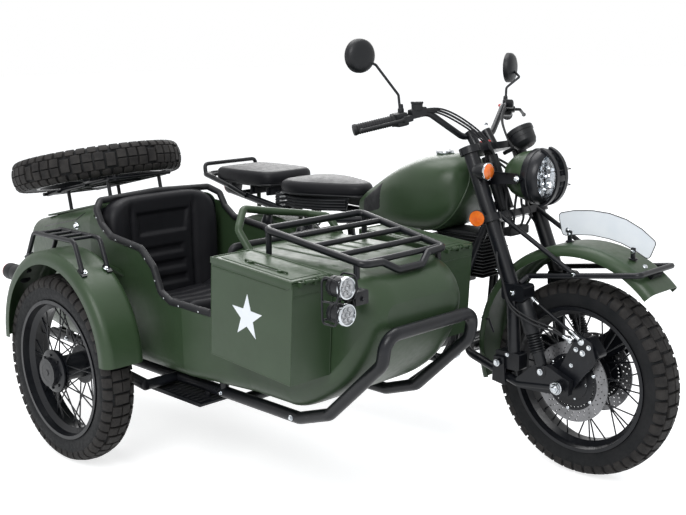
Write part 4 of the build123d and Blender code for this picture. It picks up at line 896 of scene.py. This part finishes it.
STAR_RADIUS, STAR_WAIST = 0.068, 0.40
corners = [
    spoke(BOX_UP, BOX_AHEAD, angle) * STAR_RADIUS * (STAR_WAIST if k % 2 else 1)
    for k, angle in enumerate(angles(10))
]
star, star_at = Shape(), boxed(-1, -12, -75.4, 8)
star.skin([[star_at + Y * depth + corner for corner in corners] for depth in (-0.0004, 0.0006)])
star.make("box_star", "chassis", "white_paint", WHITE, sharp=5)

# Lids: folded lips, a raised panel and a wire handle
LID_TOP = 146.5
for side, lid, body in ((-1, "outer_box_lid", "outer_lid"), (1, "inner_box_lid", "inner_lid")):
    lips, handle = Shape(), Shape()
    for left in (-76.2, 76.2):
        lips.box(boxed(side, -2, left, LID_TOP - 5), (350, 1.8, 18), 0.6, BOX_AXES)
    lips.box(boxed(side, -177.2, 0, LID_TOP - 5), (1.8, 154, 18), 0.6, BOX_AXES)
    lips.box(boxed(side, -3, 0, LID_TOP + 3.4), (300, 112, 2.2), 1, BOX_AXES)
    bead = ((-172, -72), (168, -72), (168, 72), (-172, 72))
    lips.tube([boxed(side, ahead, left, LID_TOP + 3) for ahead, left in bead], 2.2, 6, 8, loop=True)
    lips.make(f"{lid}_lip", body, "olive_paint", OLIVE)
    wire = ((-78, 4), (-78, 9), (100, 9), (100, 4))
    handle.tube([boxed(side, ahead, -28, LID_TOP + up) for ahead, up in wire], 3, 6, 8)
    for ahead in (-52, 74):
        handle.box(boxed(side, ahead, -28, LID_TOP + 6.5), (14, 16, 8), 2, BOX_AXES)
    handle.make(f"{lid}_handle", body, "olive_paint", OLIVE)

box_trim = Shape()
for side in SIDES:
    fold = ((-168, 124), (150, 124), (160, 132), (173, 132))
    box_trim.tube([boxed(side, ahead, side * 75.6, up) for ahead, up in fold], 1.8, 8, 6)
    box_trim.tube([boxed(side, 175.4, left, 108) for left in (-73, 73)], 1.6, 0, 6)
    for up in (143, -143):
        for left in (-74.2, 74.2):
            box_trim.tube([boxed(side, ahead, left, up) for ahead in (-174, 174)], 1.6, 0, 6)
    for left in (-74.4, 74.4):
        for ahead in (-174.4, 174.4):
            box_trim.tube([boxed(side, ahead, left, up) for up in (-143, 140)], 1.6, 0, 6)
box_trim.make("box_seams", "chassis", "olive_paint", OLIVE)

# Engine: rounded case with round covers, finned cylinder and head, whose top fins are narrower
COVERS = ((820, 430, 94, 116), (600, 420, 75, 108))
COVER_BOLTS, COVER_LEAD = 8, 0.2
FINS, FIN_GAP, WIDE_FINS = 13, 11.5, 9
case, fins = Shape(), Shape()
case.box(at(690, 0, 448), (515, 162, 262), 38, steps=4)
case.box(at(905, 0, 588), (180, 146, 56), 10)
for side in SIDES:
    for forward, up, radius, reach in COVERS:
        case.lathe(at(forward, side * 70, up), Y * side, [
            (0, radius), (reach - 84, radius), (reach - 74, radius - 6), (reach - 71, radius - 20),
            (reach - 70, 1),
        ], 44)
        for angle in angles(COVER_BOLTS):
            out = spoke(X, Z, angle + COVER_LEAD) * (radius - 6) / 1000
            case.bolt(at(forward, side * (reach - 10), up) + out, Y * side, 4, False)
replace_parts(case.make("engine_case", "chassis", "engine_metal", ENGINE), "engine")
for k in range(FINS):
    grow = 1.0 if k < WIDE_FINS else 0.93
    fins.box(at(1010, 0, 612 + k * FIN_GAP), (246 * grow, 144 * grow, 3.4), 1.2, steps=1)
fins.box(at(1010, 0, 684), (196, 104, 150), 8)
fins.box(at(1000, 0, 752), (180, 110, 20), 8)
fins.make("engine_fins", "chassis", "engine_metal", ENGINE)

# Chrome fittings of the front end: bolt heads, axle ends and the link's rods
chrome_front, chrome_body = Shape(), Shape()
ROD_ENDS = ((1345, 596), (1556, 478))
for side in SIDES:
    for forward, left, up, size in (
        (1271, 170.5, 362, 8), (1322, 160.5, 606, 7), (1427, 147.5, 358, 7), (1345, 147.5, 582, 6),
        (1300, 152.5, 392, 5), (1262, 160.5, 672, 5), (1556, 112, 478, 6.5), (1560, 112, 440, 6.5),
        (1536, 112, 448, 5.5), (1582, 112, 462, 5.5), (1520, 112, 392, 4.5), (1516, 108, 686, 6),
        (1196, 108, 826, 6), (1290, 105, 967, 7),
    ):
        chrome_front.bolt(at(forward, side * left, up), Y * side, size)
    for left, profile, sides in (
        (163, [(0, 21.5), (3, 21.5), (4, 18), (6, 18)], 32),
        (166, [(0, 15.5), (10, 15.5), (12.5, 13.5)], 6),
        (166, [(0, 9), (17, 9), (18, 7)], 20),
    ):
        chrome_front.lathe(at(WHEELBASE, side * left, TYRE_RADIUS), Y * side, profile, sides)
    high, low = run(ROD_ENDS, side * 112)
    way = (low - high).normalized()
    for place in (high + way * 0.004, low - way * 0.054):
        sleeve = [(0, 6.2), (4, 8.5), (30, 8.5), (32, 6.6), (48, 6.6), (50, 6.2)]
        chrome_front.lathe(place, way, sleeve, 20)
    for end in (high, low):
        chrome_front.lathe(end - Y * 0.007, Y, [(0, 9), (1, 11.5), (13, 11.5), (14, 9)], 24)
for forward, up in ((1718, 728), (1726, 690)):
    chrome_front.bolt(at(forward, -30, up), Vector((0.5, -0.3, 0.8)), 5.2)
for left in (-46, 46):
    chrome_front.bolt(at(1048, left, 1122), Vector((0.1, 0, 1)), 5)
chrome_front.make("front_bolts", "steering", "steel", CHROME)

ball, ball_at = Shape(), at(1073, -149, 357)
knuckle = [(0, 10), (3, 17.5), (10, 23.5), (20, 25.5), (30, 23.5), (37, 18), (40, 13.5)]
ball.lathe(ball_at + Y * 0.020, -Y, knuckle, 36)
ball.lathe(ball_at - Y * 0.018, -Y, [(0, 14.5), (4, 14.5), (4.5, 12.5), (16, 12.5), (18, 10.5)], 6)
ball.lathe(ball_at - Y * 0.018, -Y, [(0, 8), (22, 8), (23, 6.5)], 20)
ball.make("ball_joint", "chassis", "steel", CHROME)

# Sidecar fittings: bolts at the feet of the fender's rack and along the frame's outer rail, and the trunk's
# shut line with its latches
CAR_FENDER, CAR_FENDER_RADIUS = at(160, -1095, 400), 0.3462
for angle, spread in ((57.5, 40), (117.7, 38)):
    out = spoke(X, Z, radians(angle))
    for side in SIDES:
        chrome_body.bolt(CAR_FENDER + out * CAR_FENDER_RADIUS + Y * side * spread / 1000, out, 5.5)
for forward in (1040, 700, -250):
    chrome_body.bolt(car(forward, -208.5, 302), -Y)
SHUT_START, SHUT_GAP, SHUT_STEPS, SHUT_BEND = -316, 24, 15, 12
shut_line = Shape()
for side in SIDES:
    route = []
    for k in range(SHUT_STEPS):
        forward = SHUT_START + SHUT_GAP * k
        up = 856 + (forward - 80) * 0.2126 - 36 + 9 * max(0, k - SHUT_BEND)
        route.append(on_skin("sidecar_body", car(forward, side * 500, up), -Y * side))
    shut_line.tube(smooth([spot for spot in route if spot], 3), 1.9, 0, 6)
    latch = on_skin("sidecar_body", car(-22, side * 500, 776), -Y * side)
    if latch:
        chrome_body.bolt(latch, Y * side, 9)
shut_line.make("trunk_shut_line", "chassis", "black_paint", BLACK)
chrome_body.make("body_bolts", "chassis", "steel", CHROME)

# Raised hoop behind the pillion pad, standing on the tail rack's side rails
HOOP = ((-236, 141, 852), (-298, 141, 862), (-306, 138, 904))
Shape().tube(across_both(HOOP), 8.5, 19, 14).make("tail_hoop", "chassis", "black_paint", BLACK)

# Wire bail behind the front fender, with a stay
BAIL = ((1178, 92, 478), (1128, 70, 470), (1110, 20, 478))
bail = Shape()
bail.tube(across_both(BAIL), 3.5, 30, 8)
bail.tube([at(1178, -92, 478), at(1196, -89, 436)], 3.5, 0, 8)
bail.make("fender_bail", "steering", "black_paint", BLACK)

# Handlebar controls: grip ribs, switch boxes, a brake reservoir, lever balls and switches
GRIP_RIBS, GRIP_GAP = 15, 0.0078
grips, hardware, kill = Shape(), Shape(), Shape()
for side in SIDES:
    end = at(864, side * 415, 1125)
    along = (at(1000, side * 205, 1176) - end).normalized()
    for k in range(GRIP_RIBS):
        rib = [(-2.2, 16.8), (-1, 18.2), (1, 18.2), (2.2, 16.8)]
        grips.lathe(end + along * (0.010 + k * GRIP_GAP), along, rib, 28)
    grips.lathe(end, along, [(-4, 10), (-3, 18), (2, 19.5), (6, 19.5), (7, 17)], 28)
    front = Vector((0.93, side * 0.2, 0)).normalized()
    axes, body_at = (along, front, along.cross(front)), end + along * 0.152
    hardware.box(body_at + front * 0.006, (40, 46, 46), 8, axes)
    hardware.box(body_at + front * 0.028 + along * 0.012, (34, 26, 22), 6, axes)
    hardware.box(body_at + along * 0.052 + front * 0.022 + Z * 0.012, (52, 30, 30), 6, (along, front, Z))
    if side < 0:
        reservoir = [(0, 18), (20, 19), (22, 21), (28, 21), (29, 1)]
        hardware.lathe(body_at + along * 0.050 + front * 0.024 + Z * 0.020, Z, reservoir, 28)
    button = [(0, 6.2), (10, 6.2), (12, 5), (12.5, 0.5)]
    kill.lathe(body_at - front * 0.016 + Z * 0.008 + along * 0.004, -front * 0.6 + Z * 0.8, button, 16)
    ahead = Vector((along.y, -along.x, 0)).normalized() * -side
    lever_ball = [(0, 3), (2, 6.5), (6, 7.8), (10, 6.5), (12, 3)]
    hardware.lathe(end + along * 0.006 + ahead * 0.062, along, lever_ball, 18)
grips.make("grip_ribs", "steering", "grip_rubber", RUBBER)
for left in (-25, 15):
    hardware.lathe(at(1085, left, 1052), Z, [(0, 11), (14, 11), (16, 9)], 20)
    kill.lathe(at(1085, left, 1066), Z, [(0, 7.2), (4, 7.2), (6.5, 5), (7, 0.5)], 18)
hardware.box(at(1085, -5, 1047), (30, 78, 16), 4)
hardware.make("bar_fittings", "steering", "black_plastic", PLASTIC)
kill.make("red_switches", "steering", "red_lens", RED)

# Bar cables and brake hoses, each held at both ends. Each place is where the first one runs: the distance
# ahead, left and up, and after a distance how far it changes for the cables or the hose beside that one
BAR_CABLE = (
    (974, 4, 252, -10, 1172, 6), (1020, 6, 190, -8, 1176, 5), (1070, 0, 110, -6, 1130, 8),
    (1128, 0, 66, -5, 1072, 6), (1176, 0, 50, 6, 1010, 0), (1194, 0, 58, 5, 930, 0), (1210, 0, 60, 4, 872, 0),
    (1218, 0, 44, 6, 832, 0),
)
BRAKE_HOSE = (
    (1176, 92, 0, 850, -1), (1226, 112, 1 / 2, 778, 0), (1262, 164, 0, 700, 1), (1286, 166, -1 / 3, 640, 0),
    (1316, 166, -1 / 3, 560, 1), (1388, 160, -1, 520, 1), (1468, 142, -1, 500, 0.6), (1528, 124, 0, 478, -1),
)
HOSE_SHIFTS = (0, 9)
cables, crimps = Shape(), Shape()
for side, spread in ((-1, 0), (-1, 1), (-1, 2), (1, 0), (1, 1)):
    route = [
        at(forward + ahead * spread, side * (left + out * spread), up + rise * spread)
        for forward, ahead, left, out, up, rise in BAR_CABLE
    ]
    cables.tube(smooth(route, 7), 3.8 if spread == 1 else 3.2, 0, 8)
for side in SIDES:
    for shift in HOSE_SHIFTS:
        route = [
            at(forward, side * (left + out * shift), up + rise * shift)
            for forward, left, out, up, rise in BRAKE_HOSE
        ]
        cables.tube(smooth(route), 4, 0, 8)
        start = at(1500, side * (134 - shift * 0.7), 489 - shift * 0.1)
        crimp = [(0, 4.5), (2, 5.6), (20, 5.6), (22, 7.2), (30, 7.2), (32, 5)]
        crimps.lathe(start, at(1530, side * 124, 477 - shift) - start, crimp, 16)
cables.make("cables", "steering", "grip_rubber", RUBBER)

# Wiring looms that bulge out between the fork legs, from the upper yoke down to a junction block
looms = Shape()
for top_left, bulge, low_left in ((-36, 1204, -58), (-14, 1222, -34), (12, 1214, 14), (34, 1206, 52)):
    looms.tube(smooth([
        at(1112, top_left, 1008), at(1158, top_left * 1.5, 978), at(bulge, top_left * 1.3, 920),
        at(bulge + 12, low_left, 868), at(1234, low_left * 1.1, 824), at(1224, low_left * 0.8, 786),
    ], 7), 4.2, 0, 8)
looms.box(at(1216, 0, 778), (34, 104, 30), 6)
looms.tube([at(1192, 0, 812), at(1208, 0, 782)], 6)
looms.make("headstock_looms", "steering", "grip_rubber", RUBBER)
crimps.make("hose_crimps", "steering", "steel", CHROME)

# Gauge: a stepped drum on a stalk, its dial and the dial's ticks
tilt = Vector((-0.55, 0, 0.84)).normalized()
face_at = at(1190, 40, 1112)
gauge = Shape().lathe(face_at, tilt, [
    (-68, 1), (-67, 26), (-62, 34), (-50, 39.5), (-49, 40.5), (-33, 41.8), (-32.5, 42.5), (-16, 43.5),
    (-15.5, 46.5), (-2, 47), (0, 45.5), (-1, 41.5), (-4, 40.5), (-13, 40.5), (-13, 1),
], 48)
gauge.tube([at(1131, 40, 1028), face_at - tilt * 0.050], 7)
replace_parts(gauge.make("gauge_case", "steering", "black_plastic", PLASTIC), "gauge")
dial = Shape().lathe(face_at, tilt, [(-12, 1), (-12, 40.4), (-5.5, 40.6), (-5.2, 1)], 40)
dial.make("gauge_dial", "steering", "black_plastic", BLACK)
TICKS, TICK_START, TICK_GAP = 25, -30, 10
ticks = Shape()
across, up = square(tilt)
for k in range(TICKS):
    way = spoke(across, up, radians(TICK_START + TICK_GAP * k))
    place = face_at - tilt * 0.0049 + way * 0.031
    ticks.box(place, (4 if k % 4 else 7, 1.2, 0.6), axes=(way, tilt.cross(way), tilt))
ticks.make("gauge_ticks", "steering", "white_paint", WHITE)

# Each mirror is turned a little towards the rider
mirror_backs, mirror_glass = Shape(), Shape()
for side, forward, up, turned, elbow in (
    (-1, 877, 1363, 10, at(904, -352, 1333)), (1, 882, 1303, 19, at(935, 390, 1270)),
):
    facing = spoke(X, Y * side, radians(turned))
    glass_at, root = at(forward, side * 398, up), at(951, side * 284, 1158)
    mirror_backs.lathe(glass_at, facing, [
        (-7.8, 54.5), (-8.5, 55), (2, 55), (10, 53), (17, 46), (21.5, 34), (23.5, 18), (24, 1),
    ], 48)
    mirror_glass.lathe(glass_at, facing, [(-9.2, 1), (-9.2, 52.5), (-7, 52.5)], 48)
    arm = [root, at(948, side * 292, 1235), elbow, glass_at + facing * 0.014 - Z * 0.008]
    mirror_backs.tube(arm, 4.5, 14, 12)
    mirror_backs.lathe(root + Z * 0.012, Z, [(0, 10.5), (20, 10.5), (22, 8.5), (34, 7.5), (36, 5.5)], 20)
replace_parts(mirror_backs.make("mirror_backs", "steering", "black_plastic", PLASTIC), "mirrors")
mirror_glass.make("mirror_glasses", "steering", "steel", MIRROR)

# Tail lamps: black cans with red lenses
tails, reds = Shape(), Shape()
for place, radius in ((at(-262, 0, 798), 35), (car(-180, -430, 608), 30)):
    can = ((-2, 0.5), (2, 0.85), (12, 1), (44, 1), (46, 0.9))
    tails.lathe(place, -X, [(along, radius * share) for along, share in can], 36)
    reds.lathe(place, -X, [(40, radius * 0.94), (50, radius * 0.96), (55, radius * 0.86), (56, 1)], 36)
tails.lathe(car(-112, -430, 608), -X, [(0, 18), (6, 28), (14, 30), (70, 30)], 36)
tails.tube([car(-128, -430, 612), car(-80, -430, 632)], 7)
tails.tube([at(-285, 0, 800), at(-285, 0, 856)], 6)
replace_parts(tails.make("tail_cans", "chassis", "black_plastic", PLASTIC), "tail_lamps")
reds.make("tail_lenses", "chassis", "red_lens", RED)


# Ribs on the sidecar's deck and step, and the sidecar wheel's drum
def deck_height(forward):
    """The height of the sidecar's deck ahead of the seat, in millimetres."""
    return 792 - 2 * step_up(forward, 880, 1040) - 3 * step_up(forward, 1120, 1210)


# The outline of a deck rib: shares of its half width and of its height
DECK_RIB = ((-1, 0), (-0.62, 0.8), (-0.3, 1), (0.3, 1), (0.62, 0.8), (1, 0), (0.4, -0.3), (-0.4, -0.3))
RIB_STEPS = 12
ribs = Shape()
for left in (-112, -56, 0, 56, 112):
    rows = []
    for k in range(RIB_STEPS + 1):
        t = k / RIB_STEPS
        forward, near = 856 + 330 * t, min(t, 1 - t)
        wide, tall = 13 * min(1, near * 10 + 0.15), 5 * min(1, near * 8)
        up = deck_height(forward) - 1.5
        rows.append([car(forward, left + wide * u, up + tall * v) for u, v in DECK_RIB])
    ribs.skin(rows)
ribs.make("deck_ribs", "chassis", "olive_paint", OLIVE, sharp=60)

hub_at = at(154, -1100, TYRE_RADIUS)
drum = Shape().lathe(hub_at - Y * 0.056, -Y, [
    (0, 66), (4, 74), (10, 74), (13, 66), (16, 50), (30, 48.5), (34, 44), (34.5, 30), (30, 26), (30, 12),
    (36, 10), (36, 1),
], 48)
for angle in angles(8):
    drum.bolt(hub_at - Y * 0.071 + spoke(X, Z, angle) * 0.058, -Y, 5, False)
drum.make("sidecar_hub", "sidecar_wheel", "black_paint", BLACK)

STEP_RIBS, STEP_GAP = 12, 24.2
treads = Shape()
for k in range(STEP_RIBS):
    treads.box(car(372 + k * STEP_GAP, -175, 268.6), (8, 150, 2.2), 0.8, steps=1)
treads.make("step_ribs", "chassis", "grip_rubber", RUBBER)


# Studio
FLOOR_REACH = 40
CAMERA_PLACE = (3324.4, -2902.9, 1418.3)
CAMERA_AXES = ((0.7044, 0.7096, -0.0139), (-0.1332, 0.1513, 0.9795), (0.69717, -0.68813, 0.20106))
# Each lamp's name, place, size and energy
LAMPS = (
    ("key", (2.5, -4.0, 4.2), 3.2, 190),
    ("top", (-1.0, 0.5, 4.6), 3.6, 130),
    ("rim", (-3.5, 3.5, 2.6), 2.4, 60),
)
LAMP_AIM = Vector((0, 0, 0.5))


def hang(name, data):
    """An object in the scene that holds some data."""
    made = bpy.data.objects.new(name, data)
    bpy.context.scene.collection.objects.link(made)
    return made


def seen_rays(tree):
    """One for the rays that look at the background: from the camera, off gloss and through glass."""
    path = tree.nodes.new("ShaderNodeLightPath")
    seen = path.outputs["Is Camera Ray"]
    for kind in ("Is Glossy Ray", "Is Transmission Ray"):
        either = tree.nodes.new("ShaderNodeMath")
        either.operation = "MAXIMUM"
        tree.links.new(seen, either.inputs[0])
        tree.links.new(path.outputs[kind], either.inputs[1])
        seen = either.outputs["Value"]
    return seen


def show(tree, usual, seen, surface):
    """Sends one shader to a surface, and another to the rays that look at the background."""
    mix = tree.nodes.new("ShaderNodeMixShader")
    tree.links.new(seen_rays(tree), mix.inputs["Fac"])
    tree.links.new(usual, mix.inputs[1])
    tree.links.new(seen, mix.inputs[2])
    tree.links.new(mix.outputs["Shader"], surface.inputs["Surface"])


def backdrop():
    """Soft bluish light from all round, and plain white where the background is seen."""
    world = bpy.data.worlds.new("studio")
    bpy.context.scene.world = world
    world.use_nodes = True
    tree = world.node_tree
    ground = fill(tree.nodes["Background"], Color=(0.88, 0.94, 1.0, 1), Strength=0.55)
    white = fill(tree.nodes.new("ShaderNodeBackground"), Color=(1, 1, 1, 1), Strength=1.0)
    show(tree, ground.outputs["Background"], white.outputs["Background"], tree.nodes["World Output"])


def floor():
    """A pale floor that keeps a soft shadow and glows a little, so that it fades into the white."""
    mesh = bpy.data.meshes.new("floor")
    corners = [(FLOOR_REACH * i, FLOOR_REACH * j, 0) for i, j in ((-1, -1), (1, -1), (1, 1), (-1, 1))]
    mesh.from_pydata(corners, [], [(0, 1, 2, 3)])
    made = hang("floor", mesh)
    made.location.z = -0.0005
    paper = bpy.data.materials.new("paper")
    paper.use_nodes = True
    tree = paper.node_tree
    shader = fill(tree.nodes["Principled BSDF"], Base_Color=(0.62, 0.62, 0.62, 1), Roughness=0.9)
    glow = fill(tree.nodes.new("ShaderNodeEmission"), Strength=0.74)
    add = tree.nodes.new("ShaderNodeAddShader")
    tree.links.new(shader.outputs["BSDF"], add.inputs[0])
    tree.links.new(glow.outputs["Emission"], add.inputs[1])
    show(tree, shader.outputs["BSDF"], add.outputs["Shader"], tree.nodes["Material Output"])
    mesh.materials.append(paper)


backdrop()
floor()
for name, place, size, energy in LAMPS:
    lamp = bpy.data.lights.new(name, "AREA")
    lamp.shape, lamp.size, lamp.energy = "DISK", size, energy
    held = hang(name, lamp)
    held.location = place
    held.rotation_mode = "QUATERNION"
    held.rotation_quaternion = (LAMP_AIM - Vector(place)).to_track_quat("-Z", "Y")
camera = bpy.data.cameras.new("camera")
camera.sensor_width, camera.lens = 36.0, 55.97
shot = hang("camera", camera)
turn = Matrix([Vector(axis).normalized() for axis in CAMERA_AXES]).transposed()
shot.matrix_world = Matrix.Translation(at(*CAMERA_PLACE)) @ turn.to_4x4()
bpy.context.scene.camera = shot
bpy.context.scene.view_settings.view_transform = "Standard"
